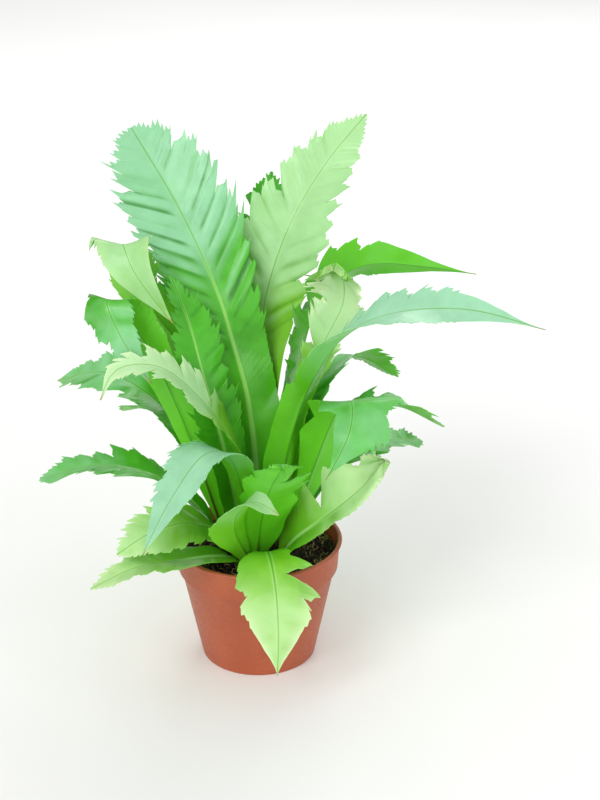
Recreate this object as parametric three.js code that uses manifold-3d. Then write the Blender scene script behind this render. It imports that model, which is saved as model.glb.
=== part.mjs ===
// A bird's nest fern with cut, pointed fronds, growing in a round plastic pot.
// Millimetres, +Z up. The origin is the middle of the pot's flat foot, +X is to the
// right and -Y towards the viewer.

import * as THREE from 'three';
import { mergeVertices } from 'three/addons/utils/BufferGeometryUtils.js';
import Module from 'manifold-3d';

const wasm = await Module();
wasm.setup();

// Pot: a tapered body, a wider band round its top and a bead along the band's edge
const RIM_RADIUS = 60;
const POT_HEIGHT = 90;
const FOOT_RADIUS = 41;
const WALL = 1.6;
const FLOOR = 2;
const CORNER = 1.2;
const BEAD_HEIGHT = 2.6;
const BEAD_OUT = 1.6;
const BAND_HEIGHT = 19;
const BAND_STEP = 2;
const BAND_TAPER = 1.4;
const BAND_FOOT = POT_HEIGHT - BEAD_HEIGHT - BAND_HEIGHT;
const BAND_RADIUS = RIM_RADIUS - BEAD_OUT;
const BODY_RADIUS = BAND_RADIUS - BAND_TAPER - BAND_STEP;
const POT_SIDES = 48;
const DRAIN_HOLES = 8;
const DRAIN_RADIUS = 3.6;
const DRAIN_CIRCLE = 29;

// Soil: it fills the pot to below the rim, with a small gap to the wall all round
const SOIL_TOP = 79;
const SOIL_GAP = 0.35;
const SOIL_SLACK = 1.5;
const SOIL_STEP = 2.5;
const SOIL_RADIUS = BAND_RADIUS - BAND_TAPER - WALL - SOIL_GAP;
const SOIL_RINGS = 6;
const SOIL_SIDES = 24;
const CLOD = 1.1;

// Crown, the brown scaly bud in the middle of the rosette
const CROWN_RADIUS = 4.6;
const CROWN_TOP = 92;
const CROWN_SHOULDER = 82;
const CROWN_FOOT = 72;
const CROWN_GAP = 0.8;
const SCALES = 15;
const SCALE_RADIUS = 1.7;
const SCALE_LENGTH = 7;
const SCALE_LEAN = 16;
const SCALE_TURN = 137.5;

// Fronds: a stalk that widens into a folded blade, whose teeth sweep forward
const FROND_FOOT = 71;
const STALK_HALF_WIDTH = 2.3;
const STALK_DEPTH = 3.2;
const STALK_ROWS = [0, 0.04, 0.09, 0.15];
const STRAP_ROW = 0.22;
const ROW_STEP = 0.08;
const TAIL_STEP = 0.07;
const LAST_ROW = 0.97;
const ROW_UNEVEN = 0.24;
const BLADE_THICKNESS = 0.9;
const TIP_HALF_WIDTH = 0.7;
const RIB_HALF_WIDTH = 3;
const RIB_END = 0.75;
const RIB_RAISED = 0.2;
const SWEEP = 0.55;
const TIP_SWEEP = 0.5;
const NARROWEST = 0.25;
const GROWN = 5;
const STALK_ENDS = [0.04, 0.24];
const STRAP_END = 0.22;
const SIDES_PART = [0.08, 0.3];
const ROLL_RUNS = [0.15, 0.9];
const WAVES = 19;
const COLUMNS = [-1, -0.5, 0, 0.5, 1];
const SLEEVE_GAP = 0.5;
const SLEEVE_LENGTH = 13;
const SLEEVE_SIDES = 6;

const COLOURS = {
  pot: { color: 0xb5573a, roughness: 0.55 },
  soil: { color: 0x2a1c14, roughness: 0.95 },
  crown: { color: 0x4a2f1c, roughness: 0.9 },
  green: { color: 0x3f9a2c, roughness: 0.4 },
  pale: { color: 0x9fd476, roughness: 0.45 },
  deep: { color: 0x236b22, roughness: 0.38 },
};

const UP = new THREE.Vector3(0, 0, 1);
const clamp = THREE.MathUtils.clamp;
const radians = THREE.MathUtils.degToRad;

// Each frond, with places along it as shares of its length, foot to tip:
//   foot    the compass angle and the distance of its stalk from the crown's middle
//   lean    the compass angle that the frond bends towards
//   half    half the greatest width, and sides what share of it the left and right half have
//   strap   the lower blade's share of that width, and widens where the strap ends
//   peak    the widest place, and tail how thin the end is drawn
//   from    where the teeth start, and to where they end, with teeth the number a side,
//           cut their depth left and right, sweep how far they lean ahead, and grown
//           how many rows they take to full size
//   fold    how far each half is raised from flat, in degrees at foot and tip
//   turn    how far the blade is rolled about its spine, in degrees at foot and tip
//   ruffle  the height of the waves along both edges
//   seed    shifts the teeth and the waves, so that no two fronds are alike
//   path    the spine's points after the foot
const FRONDS = [
  {
    name: 'frond_tall', tone: 'green', foot: [101, 9.5], lean: 104,
    half: 38, strap: 0.58, widens: 0.36, peak: 0.68, tail: 0.85,
    from: 0.42, to: 0.97, teeth: 14, cut: [0.22, 0.22], sweep: 0.85,
    fold: [22, 8], turn: [0, -10], ruffle: 3, seed: 0.4,
    path: [[0, 13, 113], [-6, 24, 186], [-16, 35, 225], [-25, 42, 256], [-50, 67, 308],
      [-86, 103, 361]],
  },
  {
    name: 'frond_light', tone: 'pale', foot: [56, 10.5], lean: 62,
    half: 32, strap: 0.5, peak: 0.58, tail: 1,
    from: 0.44, to: 0.92, teeth: 10, cut: [0.24, 0.26], sweep: 0.8,
    fold: [20, 8], turn: [0, 12], ruffle: 3, seed: 1.7,
    path: [[6, 18, 109], [1, 39, 186], [7, 61, 246], [26, 75, 300], [52, 94, 338], [80, 109, 368]],
  },
  {
    name: 'frond_middle', tone: 'deep', foot: [81, 16], lean: 92,
    half: 25, strap: 0.5, peak: 0.68, tail: 1,
    from: 0.42, to: 0.9, teeth: 9, cut: [0.4, 0.4],
    fold: [20, 12], turn: [0, 0], ruffle: 3, seed: 0.7,
    path: [[-3, 23, 104], [0, 47, 170], [-9, 76, 240], [8, 106, 290], [13, 138, 318]],
  },
  {
    name: 'frond_arch_right', tone: 'green', foot: [-27, 9.5], lean: -52,
    half: 25, strap: 0.66, widens: 0.3, peak: 0.54, tail: 1.8,
    from: 0.36, to: 0.8, teeth: 9, cut: [0.16, 0.34],
    fold: [16, 10], turn: [0, 30], ruffle: 1.2, seed: 2.9,
    path: [[12, -6, 103], [23, -12, 175], [37, -17, 217], [58, -22, 251], [86, -27, 268],
      [137, -36, 275], [189, -45, 264]],
  },
  {
    name: 'frond_cup', tone: 'pale', foot: [10, 9], lean: 64,
    half: 23, strap: 0.36, widens: 0.5, peak: 0.86, tail: 0.34,
    from: 0.56, to: 0.98, teeth: 7, cut: [0.34, 0.46],
    fold: [10, 34], turn: [0, 0], ruffle: 2, seed: -0.3,
    path: [[19, 3, 104], [27, 12, 171], [47, 26, 226], [61, 34, 254], [60, 31, 274], [54, 20, 286]],
  },
  {
    name: 'frond_dark_arch', tone: 'deep', foot: [29, 16], lean: 30,
    half: 23, strap: 0.5, peak: 0.56, tail: 1.8,
    from: 0.36, to: 0.76, teeth: 8, cut: [0.46, 0.14],
    fold: [26, 24], turn: [0, -78], ruffle: 1.5, seed: 2,
    path: [[23, 13, 104], [29, 63, 177], [40, 51, 238], [55, 54, 263], [80, 58, 274],
      [118, 61, 271], [156, 60, 265]],
  },
  {
    name: 'frond_right_fold', tone: 'green', foot: [-8, 16], lean: -78,
    half: 27, sides: [0.85, 1.2], strap: 0.3, peak: 0.56, tail: 1.6,
    from: 0.46, to: 0.84, teeth: 3, cut: [0.6, 0.7],
    fold: [14, 0], turn: [0, 0], ruffle: 2, seed: 4.2,
    path: [[22, -3, 96], [39, -4, 146], [55, -21, 198], [63, -42, 212], [61, -60, 199],
      [45, -76, 172]],
  },
  {
    name: 'frond_low_right', tone: 'pale', foot: [-48, 20], lean: -30,
    half: 31, sides: [0.5, 1], strap: 0.9, peak: 0.5, tail: 0.7,
    from: 0.2, to: 0.96, teeth: 5, cut: [0.08, 0.42], sweep: 0.15,
    fold: [20, 12], turn: [32, 52], ruffle: 2, seed: 5.2,
    path: [[17, -19, 84], [27, -28, 103], [48, -35, 124], [68, -39, 144], [88, -41, 168]],
  },
  {
    name: 'frond_front', tone: 'pale', foot: [-82, 24], lean: -84,
    half: 27, strap: 0.3, peak: 0.42, tail: 1.5,
    from: 0.34, to: 0.7, teeth: 3, cut: [0.14, 0.5], grown: 1, sweep: 0.35,
    fold: [18, -6], turn: [0, 0], ruffle: 1.2, seed: 0.9,
    path: [[4, -27, 84], [6, -42, 100], [9, -62, 102], [12, -78, 86], [13, -90, 60], [12, -95, 34]],
  },
  {
    name: 'frond_short_front', tone: 'green', foot: [-92, 14], lean: -82,
    half: 23, sides: [0.8, 1.1], strap: 0.7, peak: 0.6, tail: 0.6,
    from: 0.44, to: 0.96, teeth: 4, cut: [0.3, 0.6],
    fold: [10, 10], turn: [0, 0], ruffle: 1.5, seed: 1.3,
    path: [[0, -20, 92], [3, -30, 121], [8, -43, 148], [16, -55, 172]],
  },
  {
    name: 'frond_cross', tone: 'pale', foot: [-111, 22], lean: -40,
    half: 19, strap: 0.4, peak: 0.5, tail: 1.1,
    from: 0.38, to: 0.8, teeth: 3, cut: [0.14, 0.26],
    fold: [10, 10], turn: [0, 0], ruffle: 1, seed: 5.9,
    path: [[-8, -27, 88], [-16, -46, 118], [-13, -64, 144], [-2, -69, 153], [14, -71, 144]],
  },
  {
    name: 'frond_left_fold', tone: 'green', foot: [-132, 10], lean: -136,
    half: 24, sides: [1.05, 0.85], strap: 0.5, peak: 0.52, tail: 1.2,
    from: 0.36, to: 0.8, teeth: 7, cut: [0.2, 0.06],
    fold: [12, 0], turn: [0, 8], ruffle: 1.5, seed: 2.2,
    path: [[-6, -12, 99], [-10, -24, 142], [-20, -37, 173], [-35, -51, 179], [-56, -67, 156],
      [-76, -82, 122]],
  },
  {
    name: 'frond_low_left', tone: 'pale', foot: [-152, 18], lean: -150,
    half: 24, strap: 0.8, peak: 0.44, tail: 1,
    from: 0.36, to: 0.9, teeth: 6, cut: [0.36, 0.14],
    fold: [6, 2], turn: [0, -24], ruffle: 1.2, seed: 3.8,
    path: [[-18, -11, 86], [-30, -22, 108], [-52, -40, 122], [-74, -53, 121], [-95, -63, 111]],
  },
  {
    name: 'frond_low_left_under', tone: 'pale', foot: [-125, 23], lean: -146,
    half: 18, strap: 0.7, peak: 0.45, tail: 1,
    from: 0.34, to: 0.9, teeth: 6, cut: [0.1, 0.24],
    fold: [10, 10], turn: [0, 0], ruffle: 1.2, seed: 5.5,
    path: [[-15, -21, 82], [-29, -38, 95], [-55, -51, 99], [-82, -63, 101], [-113, -72, 90]],
  },
  {
    name: 'frond_curl_left', tone: 'pale', foot: [-177, 10.5], lean: -168,
    half: 19, strap: 0.54, peak: 0.58, tail: 1.3,
    from: 0.42, to: 0.9, teeth: 8, cut: [0.5, 0.4],
    fold: [14, 10], turn: [0, -24], ruffle: 2, seed: 5.2,
    path: [[-7, -3, 102], [-13, -13, 160], [-38, -20, 206], [-66, -24, 232], [-93, -25, 230],
      [-104, -33, 212]],
  },
  {
    name: 'frond_left_stand', tone: 'green', foot: [145, 10], lean: 122,
    half: 20, strap: 0.7, peak: 0.6, tail: 0.9,
    from: 0.34, to: 0.95, teeth: 9, cut: [0.2, 0.3],
    fold: [18, 12], turn: [0, 0], ruffle: 2, seed: 0.6,
    path: [[-13, 4, 104], [-26, 4, 169], [-37, 9, 213], [-46, 16, 248], [-58, 29, 277]],
  },
  {
    name: 'frond_left_bend', tone: 'pale', foot: [139, 16.5], lean: -108,
    half: 21, strap: 0.5, peak: 0.66, tail: 1.2,
    from: 0.46, to: 0.8, teeth: 6, cut: [0.16, 0.24],
    fold: [8, 6], turn: [0, 0], ruffle: 1.2, seed: 3.4,
    path: [[-16, 20, 105], [-30, 35, 189], [-73, 44, 249], [-90, 35, 292], [-89, 22, 302],
      [-81, 8, 288], [-56, 7, 251]],
  },
  {
    name: 'frond_left_drop', tone: 'green', foot: [170, 17], lean: -106,
    half: 17, strap: 0.5, peak: 0.7, tail: 1.1,
    from: 0.55, to: 0.88, teeth: 6, cut: [0.34, 0.2],
    fold: [8, 6], turn: [0, 0], ruffle: 1.2, seed: 1.1,
    path: [[-26, 3, 101], [-48, 3, 173], [-74, 12, 232], [-93, 15, 261], [-100, 3, 269],
      [-91, -8, 249], [-71, -11, 214]],
  },
];

// The rest of the rosette, behind and beside: compass angle, the foot's distance, how far
// the tip is from it, how high the arch is, half the width and how far it bends aside.
// RING_OUT and RING_UP shape the arch as shares of its reach and of its height.
const RING_FRONDS = [
  [16, 24, 111.5, 106, 20, -10],
  [30.5, 23.5, 124.5, 63, 19, 9],
  [44, 18.5, 105.5, 129.5, 22, -20.5],
  [64.5, 23, 110.5, 71, 20, -4.5],
  [94.5, 25, 121.5, 124.5, 22, -0.5],
  [118, 14.5, 141, 212, 24, -19],
  [130, 24, 124, 82, 20, 8],
  [152.5, 21, 157.5, 113.5, 21, -22.5],
  [176.5, 24.5, 129.5, 70, 19, -3],
];
const RING_OUT = [0.02, 0.14, 0.36, 0.66, 1];
const RING_UP = [0.16, 0.58, 0.92, 1.04, 0.86];

function ringFrond([angle, radius, reach, rise, half, aside], k) {
  const path = RING_OUT.map((out, i) => {
    const height = FROND_FOOT + rise * RING_UP[i];
    const point = new THREE.Vector3(radius + reach * out, aside * out * out, height);
    return point.applyAxisAngle(UP, radians(angle)).toArray();
  });
  return {
    name: 'frond_ring_' + (k + 1), tone: k % 3 ? 'green' : 'deep', foot: [angle, radius], lean: angle,
    half, strap: 0.5, peak: 0.64, tail: 0.8 + 0.1 * (k % 4),
    from: 0.4, to: 0.92, teeth: 7, cut: [0.34, 0.34],
    fold: [22, 8], turn: [0, aside], ruffle: 2.4, seed: 1.37 * k,
    path,
  };
}

// 0 before a, 1 after b, and an even S between.
function ramp(a, b, x) {
  return THREE.MathUtils.smoothstep(x, a, b);
}

function meshOf(name, geometry, tone) {
  geometry.computeVertexNormals();
  const mesh = new THREE.Mesh(geometry, new THREE.MeshStandardMaterial({ ...COLOURS[tone], metalness: 0 }));
  mesh.name = name;
  return mesh;
}

function solidFrom(geometry) {
  const bare = geometry.clone();
  bare.deleteAttribute('normal');
  bare.deleteAttribute('uv');
  const merged = mergeVertices(bare, 1e-3);
  return new wasm.Manifold(new wasm.Mesh({
    numProp: 3,
    vertProperties: new Float32Array(merged.attributes.position.array),
    triVerts: new Uint32Array(merged.index.array),
  }));
}

function geometryFrom(solid) {
  const mesh = solid.getMesh();
  return new THREE.BufferGeometry()
    .setAttribute('position', new THREE.BufferAttribute(mesh.vertProperties, 3))
    .setIndex(new THREE.BufferAttribute(mesh.triVerts, 1));
}

// The spine as frames by arc length: point, blade's side and blade's upper normal.
function spineOf(frond) {
  const [angle, radius] = frond.foot;
  const foot = new THREE.Vector3(radius, 0, FROND_FOOT).applyAxisAngle(UP, radians(angle));
  const points = [foot, ...frond.path.map((p) => new THREE.Vector3(...p))];
  const curve = new THREE.CatmullRomCurve3(points, false, 'centripetal');
  const length = curve.getLength();
  const across = new THREE.Vector3(0, 1, 0).applyAxisAngle(UP, radians(frond.lean));
  const [rollFoot, rollTip] = frond.turn.map(radians);
  return {
    length,
    at(s) {
      const t = clamp(s / length, 0, 1);
      const point = curve.getPointAt(t);
      const along = curve.getTangentAt(t);
      const side = across.clone().addScaledVector(along, -across.dot(along)).normalize();
      side.applyAxisAngle(along, rollFoot + (rollTip - rollFoot) * ramp(...ROLL_RUNS, t));
      return { point, side, up: along.clone().cross(side) };
    },
  };
}

// Half the blade's width at t, before the teeth are cut.
function halfWidth(frond, t) {
  const strap = frond.strap * frond.half;
  const width = STALK_HALF_WIDTH + (strap - STALK_HALF_WIDTH) * ramp(...STALK_ENDS, t)
    + (frond.half - strap) * ramp(frond.widens ?? STRAP_END, frond.peak, t);
  const past = clamp((t - frond.peak) / (1 - frond.peak), 0, 1);
  return Math.max(width * (1 - past * past) ** frond.tail, TIP_HALF_WIDTH);
}

// Rows from foot to tip, as t. The toothed rows lie on tips and notches by turns, unevenly.
function rowsOf(frond) {
  const rows = [...STALK_ROWS];
  for (let t = STRAP_ROW; t < frond.from - ROW_STEP / 2; t += ROW_STEP) rows.push(t);
  const first = rows.length;
  const steps = 2 * frond.teeth;
  const pitch = (frond.to - frond.from) / steps;
  for (let k = 0; k < steps; k++) {
    rows.push(frond.from + pitch * (k + ROW_UNEVEN * Math.sin(2.7 * k + frond.seed)));
  }
  for (let t = frond.to; t < LAST_ROW; t += TAIL_STEP) rows.push(t);
  rows.push(1);
  return { rows, first, steps };
}

// A toothed row's share of the half width on one side: over 1 on a tip, under 1 in a notch.
// The first teeth grow to full size, and here and there a notch is cut deeper.
function toothShare(frond, k, side) {
  const grown = Math.min(1, (k + 1) / (frond.grown ?? GROWN));
  const uneven = 0.5 + 0.3 * Math.sin(1.9 * k * side + 2.3 * frond.seed);
  const deep = Math.sin(2.4 * k + 9 * frond.seed + side) > 0.7 ? 1 : 0;
  const right = side > 0 ? 1 : 0;
  const onTip = (k + right) % 2 === 0;
  return Math.max(1 + grown * frond.cut[right] * (onTip ? 0.5 * uneven : -uneven - deep), NARROWEST);
}

// The midrib's depth at t: a round stalk at the foot that runs out into the blade.
function ribDepth(t) {
  return BLADE_THICKNESS + (STALK_DEPTH - BLADE_THICKNESS) * (1 - ramp(0.02, RIB_END, t)) ** 1.5;
}

// The upper and the lower point at t and at a share u of the half width, -1 left to 1 right.
function bladePoints(frond, spine, t, u, toothed) {
  const side = Math.sign(u);
  const wider = frond.sides && u !== 0 ? frond.sides[side > 0 ? 1 : 0] : 1;
  const width = halfWidth(frond, t) * (1 + (wider - 1) * ramp(...SIDES_PART, t));
  const [foldFoot, foldTip] = frond.fold.map(radians);
  const fold = foldFoot + (foldTip - foldFoot) * t;
  const share = toothed === null || u === 0 ? 1 : toothShare(frond, toothed, side) ** Math.abs(u) ** 0.6;
  const reach = Math.abs(u) * width * share;
  const ahead = spine.length * (1 - t);
  const sweep = (frond.sweep ?? SWEEP) + TIP_SWEEP * Math.max(share - 1, 0);
  const frame = spine.at(t * spine.length + Math.min(sweep * reach, 0.8 * ahead));
  const wave = frond.ruffle * Math.abs(u) ** 1.5 * (width / frond.half)
    * Math.sin(WAVES * t + frond.seed + 1.3 * side);
  const middle = frame.point.clone()
    .addScaledVector(frame.side, side * reach * Math.cos(fold))
    .addScaledVector(frame.up, reach * Math.sin(fold) + wave);
  const swell = (ribDepth(t) - BLADE_THICKNESS) * Math.max(0, 1 - reach / RIB_HALF_WIDTH);
  return [
    middle.clone().addScaledVector(frame.up, BLADE_THICKNESS / 2 + RIB_RAISED * swell),
    middle.clone().addScaledVector(frame.up, -BLADE_THICKNESS / 2 - (1 - RIB_RAISED) * swell),
  ];
}

// Triangles of a closed skin over rows x columns points, the upper ones first. Each square
// is split along the same diagonal above and below, so that thin waved skins never cross.
function skinIndex(rows, columns) {
  const under = rows * columns;
  const index = [];
  const quad = (a, b, c, d) => index.push(a, b, c, a, c, d);
  for (let i = 0; i + 1 < rows; i++) {
    for (let j = 0; j + 1 < columns; j++) {
      const a = i * columns + j;
      const b = under + a;
      quad(a, a + columns, a + columns + 1, a + 1);
      index.push(b, b + columns + 1, b + columns, b, b + 1, b + columns + 1);
    }
    const left = i * columns;
    const right = left + columns - 1;
    quad(left, under + left, under + left + columns, left + columns);
    quad(right, right + columns, under + right + columns, under + right);
  }
  const last = (rows - 1) * columns;
  for (let j = 0; j + 1 < columns; j++) {
    quad(j, j + 1, under + j + 1, under + j);
    quad(last + j, under + last + j, under + last + j + 1, last + j + 1);
  }
  return index;
}

function frondGeometry(frond) {
  const spine = spineOf(frond);
  const { rows, first, steps } = rowsOf(frond);
  const upper = [];
  const lower = [];
  rows.forEach((t, i) => {
    const toothed = i >= first && i < first + steps ? i - first : null;
    for (const u of COLUMNS) {
      const [above, below] = bladePoints(frond, spine, t, u, toothed);
      upper.push(above);
      lower.push(below);
    }
  });
  return new THREE.BufferGeometry()
    .setFromPoints([...upper, ...lower])
    .setIndex(skinIndex(rows.length, COLUMNS.length));
}

// The plain hole that a stalk stands in: the hull of the stalk's lowest rows, grown by the gap.
function sleeveSolid(frond) {
  const { length } = spineOf(frond);
  const deep = rowsOf(frond).rows.findIndex((t) => t * length > SLEEVE_LENGTH) + 1;
  const place = frondGeometry(frond).attributes.position;
  const under = place.count / 2;
  const points = [];
  for (let i = 0; i < deep * COLUMNS.length; i++) {
    for (const from of [i, i + under]) {
      const [x, y, z] = [place.getX(from), place.getY(from), place.getZ(from)];
      for (let k = 0; k < SLEEVE_SIDES; k++) {
        const a = 2 * Math.PI * k / SLEEVE_SIDES;
        points.push([x + SLEEVE_GAP * Math.cos(a), y + SLEEVE_GAP * Math.sin(a), z]);
      }
      if (i < COLUMNS.length) points.push([x, y, z - SLEEVE_GAP]);
    }
  }
  return wasm.Manifold.hull(points);
}

// The bead's half round, from the band's edge out and over to the pot's top.
function beadProfile() {
  const middle = POT_HEIGHT - BEAD_HEIGHT / 2;
  return [-90, -45, 0, 45, 90].map(radians).map((a) => [
    BAND_RADIUS + BEAD_OUT * Math.cos(a),
    middle + BEAD_HEIGHT / 2 * Math.sin(a),
  ]);
}

function potGeometry() {
  const inside = (radius) => radius - WALL;
  const profile = [
    [0, 0], [FOOT_RADIUS - CORNER, 0], [FOOT_RADIUS, CORNER],
    [BODY_RADIUS, BAND_FOOT], [BAND_RADIUS - BAND_TAPER, BAND_FOOT + CORNER],
    ...beadProfile(),
    [inside(BAND_RADIUS), POT_HEIGHT - CORNER],
    [inside(BAND_RADIUS - BAND_TAPER), BAND_FOOT + CORNER], [inside(BODY_RADIUS), BAND_FOOT - CORNER],
    [inside(FOOT_RADIUS), FLOOR + CORNER], [inside(FOOT_RADIUS) - CORNER, FLOOR], [0, FLOOR],
  ];
  const shell = new THREE.LatheGeometry(profile.map(([r, z]) => new THREE.Vector2(r, z)), POT_SIDES);
  shell.rotateX(Math.PI / 2);
  let pot = solidFrom(shell);
  for (let k = 0; k < DRAIN_HOLES; k++) {
    const angle = (k + 0.5) * 2 * Math.PI / DRAIN_HOLES;
    const drill = new THREE.CylinderGeometry(DRAIN_RADIUS, DRAIN_RADIUS, 4 * FLOOR, 12);
    drill.rotateX(Math.PI / 2);
    drill.translate(DRAIN_CIRCLE * Math.cos(angle), DRAIN_CIRCLE * Math.sin(angle), 0);
    pot = pot.subtract(solidFrom(drill));
  }
  return geometryFrom(pot);
}

// Soil height at a place: low rolling clods from a few crossed waves.
function soilHeight(x, y) {
  return SOIL_TOP + CLOD * (0.5 * Math.sin(0.31 * x + 0.6) * Math.cos(0.27 * y)
    + 0.4 * Math.sin(0.53 * x - 0.47 * y + 1.1) + 0.3 * Math.cos(0.83 * y + 0.39 * x));
}

// The soil's rings from the middle of its top, over the edge and down the pot's inside, as
// radius and height. A ring on the top has no height of its own: it follows the clods.
function soilRings() {
  const slack = WALL + SOIL_GAP + SOIL_SLACK;
  const bottom = FLOOR + SOIL_GAP;
  const rings = [];
  for (let i = 1; i <= SOIL_RINGS; i++) rings.push([SOIL_RADIUS * i / SOIL_RINGS, null]);
  rings.push([SOIL_RADIUS, BAND_FOOT + SOIL_STEP]);
  rings.push([BODY_RADIUS - slack, BAND_FOOT - SOIL_STEP]);
  rings.push([FOOT_RADIUS - slack, bottom + SOIL_STEP]);
  rings.push([FOOT_RADIUS - slack - SOIL_STEP, bottom]);
  return rings;
}

function soilGeometry(fronds) {
  const rings = soilRings();
  const points = [new THREE.Vector3(0, 0, soilHeight(0, 0))];
  for (const [radius, height] of rings) {
    for (let k = 0; k < SOIL_SIDES; k++) {
      const a = 2 * Math.PI * k / SOIL_SIDES;
      const [x, y] = [radius * Math.cos(a), radius * Math.sin(a)];
      points.push(new THREE.Vector3(x, y, height ?? soilHeight(x, y)));
    }
  }
  const bottom = points.length;
  points.push(new THREE.Vector3(0, 0, FLOOR + SOIL_GAP));
  const index = [];
  const at = (i, k) => 1 + i * SOIL_SIDES + (k % SOIL_SIDES);
  const lowest = rings.length - 1;
  for (let k = 0; k < SOIL_SIDES; k++) {
    index.push(0, at(0, k), at(0, k + 1));
    for (let i = 0; i < lowest; i++) {
      index.push(at(i, k), at(i + 1, k), at(i + 1, k + 1), at(i, k), at(i + 1, k + 1), at(i, k + 1));
    }
    index.push(bottom, at(lowest, k + 1), at(lowest, k));
  }
  let soil = solidFrom(new THREE.BufferGeometry().setFromPoints(points).setIndex(index));
  for (const frond of fronds) soil = soil.subtract(sleeveSolid(frond));
  return geometryFrom(soil.subtract(crownHole()));
}

// A round bud with overlapping pointed scales pressed up round it.
function crownGeometry() {
  const dome = [0, 22.5, 45, 67.5].map(radians).map((a) => [
    CROWN_RADIUS * Math.cos(a),
    CROWN_SHOULDER + (CROWN_TOP - CROWN_SHOULDER) * Math.sin(a),
  ]);
  const profile = [[0, CROWN_FOOT], [CROWN_RADIUS, CROWN_FOOT], ...dome, [0, CROWN_TOP]];
  const bud = new THREE.LatheGeometry(profile.map(([r, z]) => new THREE.Vector2(r, z)), 14);
  bud.rotateX(Math.PI / 2);
  const parts = [solidFrom(bud)];
  for (let k = 0; k < SCALES; k++) {
    const scale = new THREE.ConeGeometry(SCALE_RADIUS, SCALE_LENGTH, 5);
    scale.scale(1, 1, 0.5);
    scale.rotateX(Math.PI / 2);
    scale.rotateZ(Math.PI / 2);
    scale.rotateY(radians(SCALE_LEAN));
    scale.translate(0.8 * CROWN_RADIUS - 0.09 * k, 0, CROWN_SHOULDER + 0.4 * k);
    scale.rotateZ(k * radians(SCALE_TURN));
    parts.push(solidFrom(scale));
  }
  return geometryFrom(wasm.Manifold.union(parts));
}

// The plain round hole in the soil that the crown stands in.
function crownHole() {
  const radius = CROWN_RADIUS + CROWN_GAP;
  const height = SOIL_TOP;
  const drill = new THREE.CylinderGeometry(radius, radius, height, 16);
  drill.rotateX(Math.PI / 2);
  drill.translate(0, 0, CROWN_FOOT - SOIL_GAP + height / 2);
  return solidFrom(drill);
}

const fronds = [...FRONDS, ...RING_FRONDS.map(ringFrond)];
const fern = new THREE.Group();
fern.add(meshOf('pot', potGeometry(), 'pot'));
fern.add(meshOf('soil', soilGeometry(fronds), 'soil'));
fern.add(meshOf('crown', crownGeometry(), 'crown'));
for (const frond of fronds) fern.add(meshOf(frond.name, frondGeometry(frond), frond.tone));

export default fern;
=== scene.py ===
# %% [markdown]
# # A potted bird's nest fern with cut fronds
# A young fern in a round plastic pot. Plain straps rise from a brown crown in dark soil, widen into
# jagged, pleated blades and run out into long tips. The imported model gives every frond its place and
# its form with a few big triangles. Here each one gets the surface that the eye expects of a leaf:
# teeth with hollow backs, pleats along the veins, a round midrib, a thin edge and a waxy green skin.

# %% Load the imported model
import itertools
import math

import bpy
import numpy as np
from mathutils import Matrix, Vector


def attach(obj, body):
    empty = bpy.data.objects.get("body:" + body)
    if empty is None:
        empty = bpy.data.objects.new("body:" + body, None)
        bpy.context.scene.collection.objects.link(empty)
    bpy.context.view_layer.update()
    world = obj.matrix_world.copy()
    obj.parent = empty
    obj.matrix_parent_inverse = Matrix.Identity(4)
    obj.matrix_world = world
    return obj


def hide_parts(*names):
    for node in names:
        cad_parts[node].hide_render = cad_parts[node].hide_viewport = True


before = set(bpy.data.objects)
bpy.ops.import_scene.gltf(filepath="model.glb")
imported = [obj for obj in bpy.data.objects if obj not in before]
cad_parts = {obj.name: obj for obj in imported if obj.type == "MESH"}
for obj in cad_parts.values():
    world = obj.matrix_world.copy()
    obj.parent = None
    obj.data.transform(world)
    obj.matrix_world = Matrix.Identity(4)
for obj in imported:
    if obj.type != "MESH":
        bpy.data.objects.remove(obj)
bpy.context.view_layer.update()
MM = 0.001
print("pieces in the model:", len(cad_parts))

# %% [markdown]
# ## Camera
# A plant is a cloud of crossing leaves, so it only looks like the real one from the real distance and
# height: a metre and a quarter from the rim and a little under 30 degrees above it. A longer lens on
# the same spot makes the plant fill the picture and leaves what covers what as it was.

# %% Camera
RIM_HEIGHT = 90 * MM
CAMERA_DISTANCE = 1.27
CAMERA_ELEVATION = math.radians(28.2)
CAMERA_AIM = np.array([30, 0, 196]) * MM
LENS = 80


def look_at(thing, place, aim):
    """Puts thing at place and turns it so that its -Z points from there to aim, with Y kept upwards."""
    thing.location = place
    thing.rotation_euler = Vector(np.subtract(aim, place)).to_track_quat("-Z", "Y").to_euler()


def new_object(name, data):
    """An object that shows the data, linked to the scene."""
    made = bpy.data.objects.new(name, data)
    bpy.context.scene.collection.objects.link(made)
    return made


def make_camera():
    """A camera at the real distance from the pot's rim, aimed at the middle of the plant."""
    data = bpy.data.cameras.new("camera")
    data.lens = LENS
    camera = new_object("camera", data)
    back = np.array([0, -math.cos(CAMERA_ELEVATION), math.sin(CAMERA_ELEVATION)])
    look_at(camera, np.array([0, 0, RIM_HEIGHT]) + CAMERA_DISTANCE * back, CAMERA_AIM)
    bpy.context.scene.camera = camera
    return camera


print("camera at", [round(x, 3) for x in make_camera().location])

# %% [markdown]
# ## Light
# Leaves are glossy and half clear, and small hard lamps would cover them in sparks. So the main light
# is a wide, far one from the upper left, which lights the floor evenly out to the edge of the picture
# and leaves the inside of the plant dark. A soft box from the right opens the shade a little, a smaller
# low one in front draws the shine on the upright straps, and one behind shines through the pale tips.
# The world adds a low, even glow.

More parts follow.
